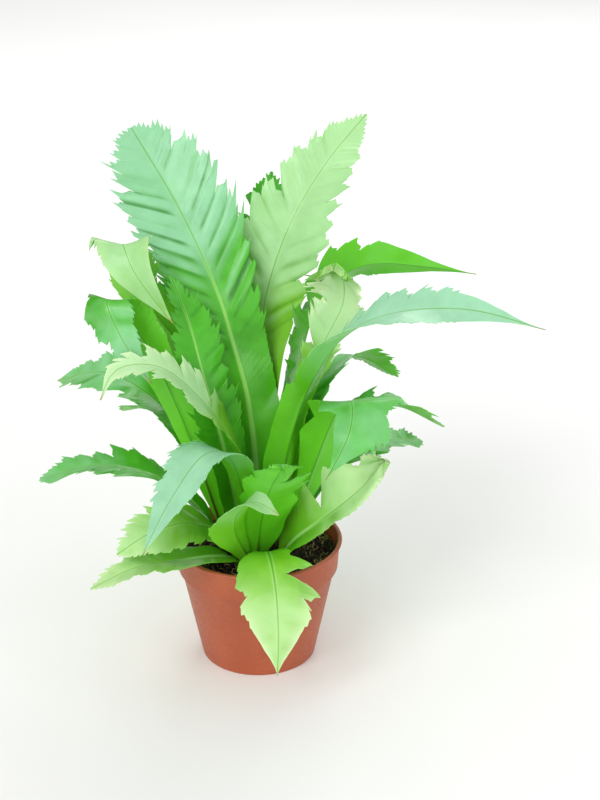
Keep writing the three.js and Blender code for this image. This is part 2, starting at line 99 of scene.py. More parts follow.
# %% Lights
AIM = (0.02, 0, 0.2)
MAIN_FROM = (-0.7, -0.95, 1.2)
MAIN_STRENGTH = 1.16
MAIN_WIDTH = math.radians(28)
SOFT_BOXES = {
    "fill_light": dict(place=(1.7, -1.2, 0.9), size=1.6, watts=8),
    "front_light": dict(place=(-0.5, -2.1, 0.75), size=0.7, watts=7),
    "back_light": dict(place=(0.5, 1.7, 1.5), size=1.2, watts=14),
}
GLOW = 0.66


def add_light(name, kind, place, power):
    """A lamp at place that shines at the plant. power is in watts, or a sun's strength."""
    data = bpy.data.lights.new(name, kind)
    data.energy = power
    look_at(new_object(name, data), place, AIM)
    return data


def make_lights():
    """The wide sun, the soft boxes and the world's glow."""
    add_light("main_light", "SUN", MAIN_FROM, MAIN_STRENGTH).angle = MAIN_WIDTH
    for name, box in SOFT_BOXES.items():
        add_light(name, "AREA", box["place"], box["watts"]).size = box["size"]
    world = bpy.data.worlds.new("studio")
    world.use_nodes = True
    glow = world.node_tree.nodes["Background"].inputs
    glow["Color"].default_value = (1, 1, 1, 1)
    glow["Strength"].default_value = GLOW
    bpy.context.scene.world = world
    bpy.context.scene.view_settings.view_transform = "Standard"


make_lights()
print("lights:", ", ".join(light.name for light in bpy.data.lights))

# %% [markdown]
# ## Small helpers
# Every surface below is a grid of points worked out at once with numpy. These helpers hold the sums
# that come back again and again: an even S-curve, noise that is the same in every run, the
# quads of a grid, and the steps that turn points into a finished piece.

# %% Numbers and noise
LATTICE = np.random.default_rng(11).random(4096)
MIXERS = (73, 1931, 39119)


def ramp(a, b, x):
    """0 before a, 1 after b, and 3k^2 - 2k^3 between, where k is the share of the way from a to b."""
    k = np.clip((x - a) / (b - a), 0, 1)
    return k * k * (3 - 2 * k)


def noise(x, y, z=0.0):
    """Smooth noise from -1 to 1: a fixed random value at each whole-number point, found by mixing the
    point's three numbers, and blended between the eight points around (x, y, z) with S-curves."""
    x, y, z = np.broadcast_arrays(*(np.asarray(v, float) for v in (x, y, z)))
    base = [np.floor(v).astype(np.int64) for v in (x, y, z)]
    part = [ramp(0, 1, v - b) for v, b in zip((x, y, z), base)]
    total = np.zeros_like(x)
    for corner in range(8):
        step = [(corner >> k) & 1 for k in range(3)]
        weight = np.prod([p if s else 1 - p for p, s in zip(part, step)], axis=0)
        key = sum((b + s) * prime for b, s, prime in zip(base, step, MIXERS))
        total += weight * LATTICE[key % LATTICE.size]
    return 2 * total - 1


def rough_noise(x, y, z=0.0, octaves=4):
    """Noise at several scales added up, each half as high and twice as fine as the one before."""
    return sum(0.5 ** k * noise(x * 2 ** k + 7 * k, y * 2 ** k, z * 2 ** k) for k in range(octaves))


print("noise at 0.5, 0.5:", round(float(noise(0.5, 0.5)), 3))

# %% Faces
def grid_faces(rows, columns, closed=False):
    """The quads of a grid of points kept row by row. closed joins the last column to the first."""
    i = np.arange(rows - 1)[:, None] * columns
    j = np.arange(columns if closed else columns - 1)[None, :]
    k = (j + 1) % columns
    return np.stack([i + j, i + k, i + k + columns, i + j + columns], -1).reshape(-1, 4)


def fan_faces(middle, ring, turned=False):
    """Triangles from one middle point to a closed ring of points."""
    first, second = (np.roll(ring, -1), ring) if turned else (ring, np.roll(ring, -1))
    return np.stack([np.full(len(ring), middle), first, second], -1)


def closed_faces(rows, sides, turned=False):
    """The quads between closed rings of points, and a fan at each end, from the first and the second
    point after the rings. turned lets all of them face the other way."""
    ring = np.arange(sides)
    walls = grid_faces(rows, sides, closed=True)
    return [walls[:, ::-1] if turned else walls, fan_faces(rows * sides, ring, not turned),
            fan_faces(rows * sides + 1, (rows - 1) * sides + ring, turned)]


print("quads between 3 rows of 4 points:", len(grid_faces(3, 4)))

# %% Pieces
SMOOTH_BELOW = math.radians(55)


def mesh_piece(name, points, faces, material, replaces=(), values=None):
    """A shown piece from points in mm and lists of faces. values are numbers kept at each point."""
    mesh = bpy.data.meshes.new(name)
    mesh.from_pydata(np.asarray(points) * MM, [], [f for group in faces for f in group.tolist()])
    for key, numbers in (values or {}).items():
        layer = mesh.attributes.new(key, "FLOAT", "POINT")
        layer.data.foreach_set("value", np.ravel(numbers).astype(np.float32))
    mesh.shade_smooth()
    mesh.set_sharp_from_angle(angle=SMOOTH_BELOW)
    mesh.materials.append(material)
    piece = new_object(name, mesh)
    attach(piece, "root")
    if replaces:
        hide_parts(*replaces)
    return piece


def triangles(piece):
    """How many triangles a piece has: a face with n corners makes n - 2."""
    return sum(len(p.vertices) - 2 for p in piece.data.polygons)


print("edges stay smooth below", round(math.degrees(SMOOTH_BELOW)), "degrees")

# %% [markdown]
# ## Building materials
# A material is a small sum of patterns. Three of them are node groups, built once and given named
# inputs: blotches of another colour, fine parallel veins, and dust that settles on what faces up.
# Each material places the groups it needs with values of its own.

# %% Colours and nodes
def linear(red, green, blue):
    """An sRGB colour given as 0 to 255, as the linear colour that shaders use."""
    share = np.array([red, green, blue]) / 255
    bent = np.where(share <= 0.04045, share / 12.92, ((share + 0.055) / 1.055) ** 2.4)
    return (*(float(c) for c in bent), 1.0)


def add(tree, kind, inputs=None, **settings):
    """A node with its settings and inputs. An input is a plain value or another node's output."""
    made = tree.nodes.new(kind)
    for key, value in settings.items():
        setattr(made, key, value)
    for key, value in (inputs or {}).items():
        if isinstance(value, bpy.types.NodeSocket):
            tree.links.new(value, made.inputs[key])
        else:
            made.inputs[key].default_value = value
    return made


def mix(tree, share, first, second):
    """A colour between two others: first where share is 0, second where it is 1."""
    inputs = {0: share, 6: first, 7: second}
    return add(tree, "ShaderNodeMix", inputs, data_type="RGBA").outputs[2]


def sums(tree, operation, *values):
    """One step of arithmetic on values or other nodes' outputs."""
    return add(tree, "ShaderNodeMath", dict(enumerate(values)), operation=operation).outputs[0]


def rise(tree, value, low, high, start=0.0, end=1.0):
    """start where value is under low, end where it is over high, and an S-curve between."""
    inputs = {"Value": value, "From Min": low, "From Max": high, "To Min": start, "To Max": end}
    return add(tree, "ShaderNodeMapRange", inputs, interpolation_type="SMOOTHSTEP").outputs[0]


def kept(tree, name):
    """A number that the mesh keeps at its points."""
    return add(tree, "ShaderNodeAttribute", attribute_name=name).outputs["Fac"]


print("middle grey as a linear colour:", [round(c, 3) for c in linear(128, 128, 128)])

# %% A shared pattern: blotches
def new_group(name, inputs, outputs):
    """An empty node group with float sockets, its input node and its output node."""
    tree = bpy.data.node_groups.new(name, "ShaderNodeTree")
    for key, value in inputs.items():
        socket = tree.interface.new_socket(key, in_out="INPUT", socket_type="NodeSocketFloat")
        socket.default_value = value
    for key in outputs:
        tree.interface.new_socket(key, in_out="OUTPUT", socket_type="NodeSocketFloat")
    return tree, tree.nodes.new("NodeGroupInput"), tree.nodes.new("NodeGroupOutput")


def place(tree, group, **values):
    """The outputs of a node group, placed with values of its own."""
    return add(tree, "ShaderNodeGroup", values, node_tree=group).outputs


def blotch_group():
    """Blotches: three-dimensional noise on Object coordinates, so the pattern stays with the piece."""
    tree, start, end = new_group("blotches", {"Scale": 20, "Sharpness": 0.3}, ["Share"])
    spot = add(tree, "ShaderNodeTexCoord").outputs["Object"]
    inputs = {"Vector": spot, "Scale": start.outputs["Scale"], "Detail": 4}
    grain = add(tree, "ShaderNodeTexNoise", inputs).outputs["Fac"]
    low = sums(tree, "SUBTRACT", 0.5, start.outputs["Sharpness"])
    high = sums(tree, "ADD", 0.5, start.outputs["Sharpness"])
    tree.links.new(rise(tree, grain, low, high), end.inputs["Share"])
    return tree


blotches = blotch_group()
print("sockets of the blotches:", ", ".join(s.name for s in blotches.interface.items_tree))

# %% Veins
def vein_group():
    """Parallel veins. The blade's UV runs along the midrib by where each vein leaves it, so a sine of
    that length draws lines that follow the veins. Noise makes them wander, and they fade at the rib."""
    tree, start, end = new_group("parallel_veins", {"Spacing": 3 * MM, "Wander": 0.4}, ["Vein", "Wave"])
    spot = add(tree, "ShaderNodeUVMap", uv_map="leaf").outputs[0]
    split = add(tree, "ShaderNodeSeparateXYZ", {"Vector": spot})
    grain = add(tree, "ShaderNodeTexNoise", {"Vector": spot, "Scale": 90, "Detail": 2}).outputs["Fac"]
    turns = sums(tree, "DIVIDE", split.outputs["X"], start.outputs["Spacing"])
    turns = sums(tree, "ADD", turns, sums(tree, "MULTIPLY", grain, start.outputs["Wander"]))
    wave = sums(tree, "SINE", sums(tree, "MULTIPLY", turns, 2 * math.pi))
    away = rise(tree, sums(tree, "ABSOLUTE", split.outputs["Y"]), 0.5 * MM, 4 * MM)
    tree.links.new(sums(tree, "MULTIPLY", rise(tree, wave, 0.6, 1.0), away), end.inputs["Vein"])
    tree.links.new(sums(tree, "MULTIPLY", wave, away), end.inputs["Wave"])
    return tree


veins = vein_group()
print("nodes in the veins:", len(veins.nodes))

# %% Dust
def dust_group():
    """Dust on what faces up: the normal's Z, broken by fine noise."""
    tree, start, end = new_group("settled_dust", {"Amount": 0.5, "Scale": 180}, ["Dust"])
    normal = add(tree, "ShaderNodeNewGeometry").outputs["Normal"]
    up = add(tree, "ShaderNodeSeparateXYZ", {"Vector": normal})
    spot = add(tree, "ShaderNodeTexCoord").outputs["Object"]
    inputs = {"Vector": spot, "Scale": start.outputs["Scale"], "Detail": 5}
    grain = add(tree, "ShaderNodeTexNoise", inputs).outputs["Fac"]
    facing = rise(tree, up.outputs["Z"], -0.2, 0.9)
    lying = sums(tree, "MULTIPLY", facing, rise(tree, grain, 0.45, 0.65))
    tree.links.new(sums(tree, "MULTIPLY", lying, start.outputs["Amount"]), end.inputs["Dust"])
    return tree


settled_dust = dust_group()
print("shared patterns:", ", ".join(g.name for g in bpy.data.node_groups))

# %% [markdown]
# ## Leaf skin
# The same leaf is deep green and shiny low on its strap, and pale towards the tip, where it is young
# and thin; the mint over that pale part is partly its young tone and partly painted sheen. Between the
# two the green runs up in streaks along the valleys of the pleats, a painted shade, and the pale reaches
# further on their crests, a painted sheen.
# The midrib is a pale cord low down and a thin dark line higher up, and brown underneath near the foot.
# One function makes the skin for three kinds of frond. Numbers that the meshes keep at their points say
# where on the blade a spot is, so the colours follow each leaf however it bends.

# %% Leaf colours
LEAF_LOOKS = {
    "frond_green": dict(low=(84, 184, 4), high=(84, 186, 34), pale=(134, 208, 138), dark=(12, 104, 2),
                        rib=(150, 214, 104), rough=0.28),
    "frond_pale": dict(low=(108, 186, 12), high=(134, 200, 54), pale=(172, 222, 138), dark=(44, 128, 4),
                       rib=(176, 226, 134), rough=0.32),
    "frond_deep": dict(low=(68, 178, 2), high=(68, 170, 22), pale=(118, 196, 106), dark=(8, 84, 1),
                       rib=(118, 190, 70), rough=0.25),
}
STALK_BROWN = (52, 34, 18)
CREAM = (226, 246, 196)
# Partly the pale young blade's tone, partly painted sheen: the whitish shine of the waxy upper side.
MINT_SHEEN = (168, 220, 188)
UNDER_GREEN = (108, 204, 28)
UNDER_SHARE = 0.6
DRY_TIP = (186, 156, 92)
VEIN_SPACING = 1.7 * MM
print("kinds of frond:", ", ".join(LEAF_LOOKS))

# %% The midrib over the blade
KEEL_BROWN = (66, 62, 24)


def ribbed(tree, colour, tones, along, under):
    """The midrib over the blade: a wide pale cord low down, a thin darker line higher up, and on the
    lower side a thin keel that is brown near the foot."""
    rib, line = kept(tree, "rib"), kept(tree, "rib_line")
    narrow = rise(tree, rib, 0.6, 0.95)
    dark = mix(tree, 0.45, colour, tones["dark"])
    cord = mix(tree, rise(tree, rib, 0.04, 0.75), colour, tones["rib"])
    border = mix(tree, rise(tree, rib, 0.02, 0.4, 0, 0.35), colour, tones["rib"])
    thin = mix(tree, narrow, border, dark)
    keel = mix(tree, rise(tree, along, 0.12, 0.36), linear(*KEEL_BROWN), dark)
    below = mix(tree, narrow, colour, keel)
    return mix(tree, under, mix(tree, line, cord, thin), below)


print("brown of the keel near the foot:", [round(c, 3) for c in linear(*KEEL_BROWN)])

# %% The blade's colour
def leaf_colour(tree, look):
    """The blade's colour: low to high along it, then paler where the mesh says so and further on the
    pleats' crests as painted sheen, turning to mint as partly painted sheen, with dark streaks in the
    valleys of the pleats as painted shade, faint veins, and the midrib drawn over it."""
    along, under, pale, crest = (kept(tree, key) for key in ("along", "under", "pale", "crest"))
    tones = {key: linear(*value) for key, value in look.items() if key != "rough"}
    wide = place(tree, blotches, Scale=22.0, Sharpness=0.25)["Share"]
    fine = place(tree, blotches, Scale=70.0, Sharpness=0.3)["Share"]
    colour = mix(tree, rise(tree, along, 0.25, 0.6), tones["low"], tones["high"])
    colour = mix(tree, sums(tree, "MULTIPLY", wide, 0.1), colour, tones["pale"])
    colour = mix(tree, rise(tree, wide, 0.5, 0.1, 0, 0.3), colour, tones["dark"])
    patchy = sums(tree, "ADD", pale, sums(tree, "MULTIPLY", sums(tree, "SUBTRACT", wide, 0.5), 0.35))
    # Painted sheen on the pleats: the pale share reaches further where they crest.
    pale_with_crest_sheen = sums(tree, "ADD", patchy, sums(tree, "MULTIPLY", crest, 0.42))
    pale_share = sums(tree, "MULTIPLY", rise(tree, pale_with_crest_sheen, 0.12, 0.88), rise(tree, pale, 0, 0.15))
    colour = mix(tree, pale_share, colour, tones["pale"])
    # Painted sheen, partly the young tone: the pale parts turn towards mint by the mesh's mint share.
    colour = mix(tree, sums(tree, "MULTIPLY", kept(tree, "mint_sheen"), pale_share), colour, linear(*MINT_SHEEN))
    # Painted shade in the pleats' valleys: dark green, strong where the blade is still green and faint
    # where it is palest.
    valley_shade_strength = rise(tree, pale_share, 1, 0.5, 0.14, 0.8)
    valley_painted_shade = sums(tree, "MULTIPLY", rise(tree, crest, -0.1, -0.9), valley_shade_strength)
    colour = mix(tree, valley_painted_shade, colour, tones["dark"])
    colour = mix(tree, sums(tree, "MULTIPLY", fine, 0.18), colour, tones["dark"])
    colour = mix(tree, kept(tree, "cream"), colour, linear(*CREAM))
    line = place(tree, veins, Spacing=VEIN_SPACING, Wander=0.5)
    between = sums(tree, "MULTIPLY", rise(tree, line["Wave"], 0, -1), 0.06)
    colour = mix(tree, between, colour, tones["dark"])
    colour = mix(tree, sums(tree, "MULTIPLY", under, UNDER_SHARE), colour, linear(*UNDER_GREEN))
    return ribbed(tree, colour, tones, along, under), line, fine


print("green of the blade's lower side:", [round(c, 3) for c in linear(*UNDER_GREEN)])

# %% [markdown]
# The shine comes from the shader's own sockets: a thin clear coat for the wax, a low index for the soft
# leaf under it, and a little light that passes through. The mint on the pale parts and the paler pleat
# crests add a painted sheen in the colour. Only colour, roughness and relief change over the blade, so
# only they are linked.

# %% Leaf material
LEAF_FINISH = {
    "Subsurface Weight": 0.15, "Subsurface Radius": (0.5, 1.0, 0.2), "Subsurface Scale": 1.4 * MM,
    "IOR": 1.3, "Coat Weight": 0.3, "Coat Roughness": 0.1, "Coat IOR": 1.4,
}


def new_material(name):
    """A new material with its node tree and its Principled shader."""
    material = bpy.data.materials.new(name)
    material.use_nodes = True
    return material, material.node_tree, material.node_tree.nodes["Principled BSDF"]


def bumped(tree, shader, height, strength, distance):
    """Lets height tilt the surface that the light meets. distance is the relief's depth in metres."""
    bump = add(tree, "ShaderNodeBump", {"Height": height, "Strength": strength, "Distance": distance})
    tree.links.new(bump.outputs["Normal"], shader.inputs["Normal"])


def leaf_material(name, look):
    """Skin of one kind of frond: its colour, brown at the foot and dry at the tip, and a gloss that
    dulls where the blade is pale and on its lower side, with veins and a fine grain as relief."""
    material, tree, shader = new_material(name)
    along, under = kept(tree, "along"), kept(tree, "under")
    colour, line, fine = leaf_colour(tree, look)
    colour = mix(tree, rise(tree, along, 0.13, 0.02), colour, linear(*STALK_BROWN))
    tree.links.new(mix(tree, kept(tree, "dry"), colour, linear(*DRY_TIP)), shader.inputs["Base Color"])
    rough = sums(tree, "ADD", look["rough"], sums(tree, "MULTIPLY", fine, 0.1))
    rough = sums(tree, "ADD", rough, rise(tree, kept(tree, "pale"), 0, 0.8, 0, 0.14))
    rough = sums(tree, "ADD", rough, sums(tree, "MULTIPLY", under, 0.12))
    tree.links.new(rough, shader.inputs["Roughness"])
    spot = add(tree, "ShaderNodeTexCoord").outputs["Object"]
    grain = add(tree, "ShaderNodeTexNoise", {"Vector": spot, "Scale": 900, "Detail": 2}).outputs["Fac"]
    grain = sums(tree, "MULTIPLY", grain, 0.3)
    relief = sums(tree, "ADD", sums(tree, "MULTIPLY", line["Wave"], 0.5), grain)
    bumped(tree, shader, relief, 0.3, 0.07 * MM)
    for key, value in LEAF_FINISH.items():
        shader.inputs[key].default_value = value
    return material


leaf_skins = {name: leaf_material(name, look) for name, look in LEAF_LOOKS.items()}
print("leaf skins:", ", ".join(leaf_skins))

# %% [markdown]
# ## The fronds' places
# Each row is one frond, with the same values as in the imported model, in mm and degrees: where its foot
# stands, where its spine runs, how wide it is and how its teeth are cut. The first eighteen are read
# from the plant as it is seen, and the nine of the ring come from a rule that fills the far side.

# %% Values of a frond, and the upright ones
#   foot    the compass angle and the distance of its stalk from the crown's middle
#   lean    the compass angle that the frond bends towards
#   half    half the greatest width, and sides what share of it the left and right half have
#   strap   the lower blade's share of that width, and widens where the strap ends
#   peak    the widest place, and tail how thin the end is drawn
#   first   where the teeth start, and last where they end, with teeth the number a side,
#           cut their depth left and right, and sweep how far they lean ahead
#   fold    how far each half is raised from flat, at foot and tip
#   turn    how far the blade is rolled about its spine, at foot and tip
#   ruffle  the height of the waves along both edges
#   seed    shifts the teeth and the waves, so that no two fronds are alike
#   path    the spine's points after the foot
FRONDS = [
    dict(
        name="frond_tall", tone="green", foot=[101, 9.5], lean=104,
        half=38, strap=0.58, widens=0.36, peak=0.68, tail=0.85,
        first=0.42, last=0.97, teeth=14, cut=[0.22, 0.22], sweep=0.85,
        fold=[22, 8], turn=[0, -10], ruffle=3, seed=0.4,
        path=[[0, 13, 113], [-6, 24, 186], [-16, 35, 225], [-25, 42, 256], [-50, 67, 308],
          [-86, 103, 361]],
    ),
    dict(
        name="frond_light", tone="pale", foot=[56, 10.5], lean=62,
        half=32, strap=0.5, peak=0.58, tail=1,
        first=0.44, last=0.92, teeth=10, cut=[0.24, 0.26], sweep=0.8,
        fold=[20, 8], turn=[0, 12], ruffle=3, seed=1.7,
        path=[[6, 18, 109], [1, 39, 186], [7, 61, 246], [26, 75, 300], [52, 94, 338], [80, 109, 368]],
    ),
    dict(
        name="frond_middle", tone="deep", foot=[81, 16], lean=92,
        half=25, strap=0.5, peak=0.68, tail=1,
        first=0.42, last=0.9, teeth=9, cut=[0.4, 0.4],
        fold=[20, 12], turn=[0, 0], ruffle=3, seed=0.7,
        path=[[-3, 23, 104], [0, 47, 170], [-9, 76, 240], [8, 106, 290], [13, 138, 318]],
    ),
]
print("upright fronds:", len(FRONDS))

# %% Fronds on the right
FRONDS += [
    dict(
        name="frond_arch_right", tone="green", foot=[-27, 9.5], lean=-52,
        half=25, strap=0.66, widens=0.3, peak=0.54, tail=1.8,
        first=0.36, last=0.8, teeth=9, cut=[0.16, 0.34],
        fold=[16, 10], turn=[0, 30], ruffle=1.2, seed=2.9,
        path=[[12, -6, 103], [23, -12, 175], [37, -17, 217], [58, -22, 251], [86, -27, 268],
          [137, -36, 275], [189, -45, 264]],
    ),
    dict(
        name="frond_cup", tone="pale", foot=[10, 9], lean=64,
        half=23, strap=0.36, widens=0.5, peak=0.86, tail=0.34,
        first=0.56, last=0.98, teeth=7, cut=[0.34, 0.46],
        fold=[10, 34], turn=[0, 0], ruffle=2, seed=-0.3,
        path=[[19, 3, 104], [27, 12, 171], [47, 26, 226], [61, 34, 254], [60, 31, 274], [54, 20, 286]],
    ),
    dict(
        name="frond_dark_arch", tone="deep", foot=[29, 16], lean=30,
        half=23, strap=0.5, peak=0.56, tail=1.8,
        first=0.36, last=0.76, teeth=8, cut=[0.46, 0.14],
        fold=[26, 24], turn=[0, -78], ruffle=1.5, seed=2,
        path=[[23, 13, 104], [29, 63, 177], [40, 51, 238], [55, 54, 263], [80, 58, 274],
          [118, 61, 271], [156, 60, 265]],
    ),
    dict(
        name="frond_right_fold", tone="green", foot=[-8, 16], lean=-78,
        half=27, sides=[0.85, 1.2], strap=0.3, peak=0.56, tail=1.6,
        first=0.46, last=0.84, teeth=3, cut=[0.6, 0.7],
        fold=[14, 0], turn=[0, 0], ruffle=2, seed=4.2,
        path=[[22, -3, 96], [39, -4, 146], [55, -21, 198], [63, -42, 212], [61, -60, 199],
          [45, -76, 172]],
    ),
    dict(
        name="frond_low_right", tone="pale", foot=[-48, 20], lean=-30,
        half=31, sides=[0.5, 1], strap=0.9, peak=0.5, tail=0.7,
        first=0.2, last=0.96, teeth=5, cut=[0.08, 0.42], sweep=0.15,
        fold=[20, 12], turn=[32, 52], ruffle=2, seed=5.2,
        path=[[17, -19, 84], [27, -28, 103], [48, -35, 124], [68, -39, 144], [88, -41, 168]],
    ),
]
print("with the right side:", len(FRONDS))

# %% Fronds at the front
FRONDS += [
    dict(
        name="frond_front", tone="pale", foot=[-82, 24], lean=-84,
        half=27, strap=0.3, peak=0.42, tail=1.5,
        first=0.34, last=0.7, teeth=3, cut=[0.14, 0.5], grown=1, sweep=0.35,
        fold=[18, -6], turn=[0, 0], ruffle=1.2, seed=0.9,
        path=[[4, -27, 84], [6, -42, 100], [9, -62, 102], [12, -78, 86], [13, -90, 60], [12, -95, 34]],
    ),
    dict(
        name="frond_short_front", tone="green", foot=[-92, 14], lean=-82,
        half=23, sides=[0.8, 1.1], strap=0.7, peak=0.6, tail=0.6,
        first=0.44, last=0.96, teeth=4, cut=[0.3, 0.6],
        fold=[10, 10], turn=[0, 0], ruffle=1.5, seed=1.3,
        path=[[0, -20, 92], [3, -30, 121], [8, -43, 148], [16, -55, 172]],
    ),
    dict(
        name="frond_cross", tone="pale", foot=[-111, 22], lean=-40,
        half=19, strap=0.4, peak=0.5, tail=1.1,
        first=0.38, last=0.8, teeth=3, cut=[0.14, 0.26],
        fold=[10, 10], turn=[0, 0], ruffle=1, seed=5.9,
        path=[[-8, -27, 88], [-16, -46, 118], [-13, -64, 144], [-2, -69, 153], [14, -71, 144]],
    ),
]
print("with the front:", len(FRONDS))

# %% Fronds on the left
FRONDS += [
    dict(
        name="frond_left_fold", tone="green", foot=[-132, 10], lean=-136,
        half=24, sides=[1.05, 0.85], strap=0.5, peak=0.52, tail=1.2,
        first=0.36, last=0.8, teeth=7, cut=[0.2, 0.06],
        fold=[12, 0], turn=[0, 8], ruffle=1.5, seed=2.2,
        path=[[-6, -12, 99], [-10, -24, 142], [-20, -37, 173], [-35, -51, 179], [-56, -67, 156],
          [-76, -82, 122]],
    ),
    dict(
        name="frond_low_left", tone="pale", foot=[-152, 18], lean=-150,
        half=24, strap=0.8, peak=0.44, tail=1,
        first=0.36, last=0.9, teeth=6, cut=[0.36, 0.14],
        fold=[6, 2], turn=[0, -24], ruffle=1.2, seed=3.8,
        path=[[-18, -11, 86], [-30, -22, 108], [-52, -40, 122], [-74, -53, 121], [-95, -63, 111]],
    ),
    dict(
        name="frond_low_left_under", tone="pale", foot=[-125, 23], lean=-146,
        half=18, strap=0.7, peak=0.45, tail=1,
        first=0.34, last=0.9, teeth=6, cut=[0.1, 0.24],
        fold=[10, 10], turn=[0, 0], ruffle=1.2, seed=5.5,
        path=[[-15, -21, 82], [-29, -38, 95], [-55, -51, 99], [-82, -63, 101], [-113, -72, 90]],
    ),
    dict(
        name="frond_curl_left", tone="pale", foot=[-177, 10.5], lean=-168,
        half=19, strap=0.54, peak=0.58, tail=1.3,
        first=0.42, last=0.9, teeth=8, cut=[0.5, 0.4],
        fold=[14, 10], turn=[0, -24], ruffle=2, seed=5.2,
        path=[[-7, -3, 102], [-13, -13, 160], [-38, -20, 206], [-66, -24, 232], [-93, -25, 230],
          [-104, -33, 212]],
    ),
    dict(
        name="frond_left_stand", tone="green", foot=[145, 10], lean=122,
        half=20, strap=0.7, peak=0.6, tail=0.9,
        first=0.34, last=0.95, teeth=9, cut=[0.2, 0.3],
        fold=[18, 12], turn=[0, 0], ruffle=2, seed=0.6,
        path=[[-13, 4, 104], [-26, 4, 169], [-37, 9, 213], [-46, 16, 248], [-58, 29, 277]],
    ),
    dict(
        name="frond_left_bend", tone="pale", foot=[139, 16.5], lean=-108,
        half=21, strap=0.5, peak=0.66, tail=1.2,
        first=0.46, last=0.8, teeth=6, cut=[0.16, 0.24],
        fold=[8, 6], turn=[0, 0], ruffle=1.2, seed=3.4,
        path=[[-16, 20, 105], [-30, 35, 189], [-73, 44, 249], [-90, 35, 292], [-89, 22, 302],
          [-81, 8, 288], [-56, 7, 251]],
    ),
    dict(
        name="frond_left_drop", tone="green", foot=[170, 17], lean=-106,
        half=17, strap=0.5, peak=0.7, tail=1.1,
        first=0.55, last=0.88, teeth=6, cut=[0.34, 0.2],
        fold=[8, 6], turn=[0, 0], ruffle=1.2, seed=1.1,
        path=[[-26, 3, 101], [-48, 3, 173], [-74, 12, 232], [-93, 15, 261], [-100, 3, 269],
          [-91, -8, 249], [-71, -11, 214]],
    ),
]
print("fronds read from the plant:", len(FRONDS))

# %% The ring
#   compass angle, foot's distance, reach, rise, half the width, how far the tip bends aside
RING_FRONDS = [
    (16, 24, 111.5, 106, 20, -10),
    (30.5, 23.5, 124.5, 63, 19, 9),
    (44, 18.5, 105.5, 129.5, 22, -20.5),
    (64.5, 23, 110.5, 71, 20, -4.5),
    (94.5, 25, 121.5, 124.5, 22, -0.5),
    (118, 14.5, 141, 212, 24, -19),
    (130, 24, 124, 82, 20, 8),
    (152.5, 21, 157.5, 113.5, 21, -22.5),
    (176.5, 24.5, 129.5, 70, 19, -3),
]
RING_OUT = np.array([0.02, 0.14, 0.36, 0.66, 1])
RING_UP = np.array([0.16, 0.58, 0.92, 1.04, 0.86])
FROND_FOOT = 71


def turned(vector, degrees):
    """The vector turned about the upright axis through the origin."""
    c, s = math.cos(math.radians(degrees)), math.sin(math.radians(degrees))
    x, y, z = np.moveaxis(np.asarray(vector, float), -1, 0)
    return np.stack([c * x - s * y, s * x + c * y, z], -1)


def ring_frond(k, row):
    """A frond of the ring. Its spine leaves the foot outwards and up, arches over and hangs a little:
    the points lie at fixed shares of its reach and rise, and go aside by the square of the first."""
    angle, radius, reach, rise_height, half, aside = row
    arch = [radius + reach * RING_OUT, aside * RING_OUT ** 2, FROND_FOOT + rise_height * RING_UP]
    return dict(
        name=f"frond_ring_{k + 1}", tone="green" if k % 3 else "deep", foot=[angle, radius], lean=angle,
        half=half, strap=0.5, peak=0.64, tail=0.8 + 0.1 * (k % 4),
        first=0.4, last=0.92, teeth=7, cut=[0.34, 0.34],
        fold=[22, 8], turn=[0, aside], ruffle=2.4, seed=1.37 * k,
        path=turned(np.stack(arch, -1), angle),
    )


fronds = FRONDS + [ring_frond(k, row) for k, row in enumerate(RING_FRONDS)]
print("fronds:", len(fronds))

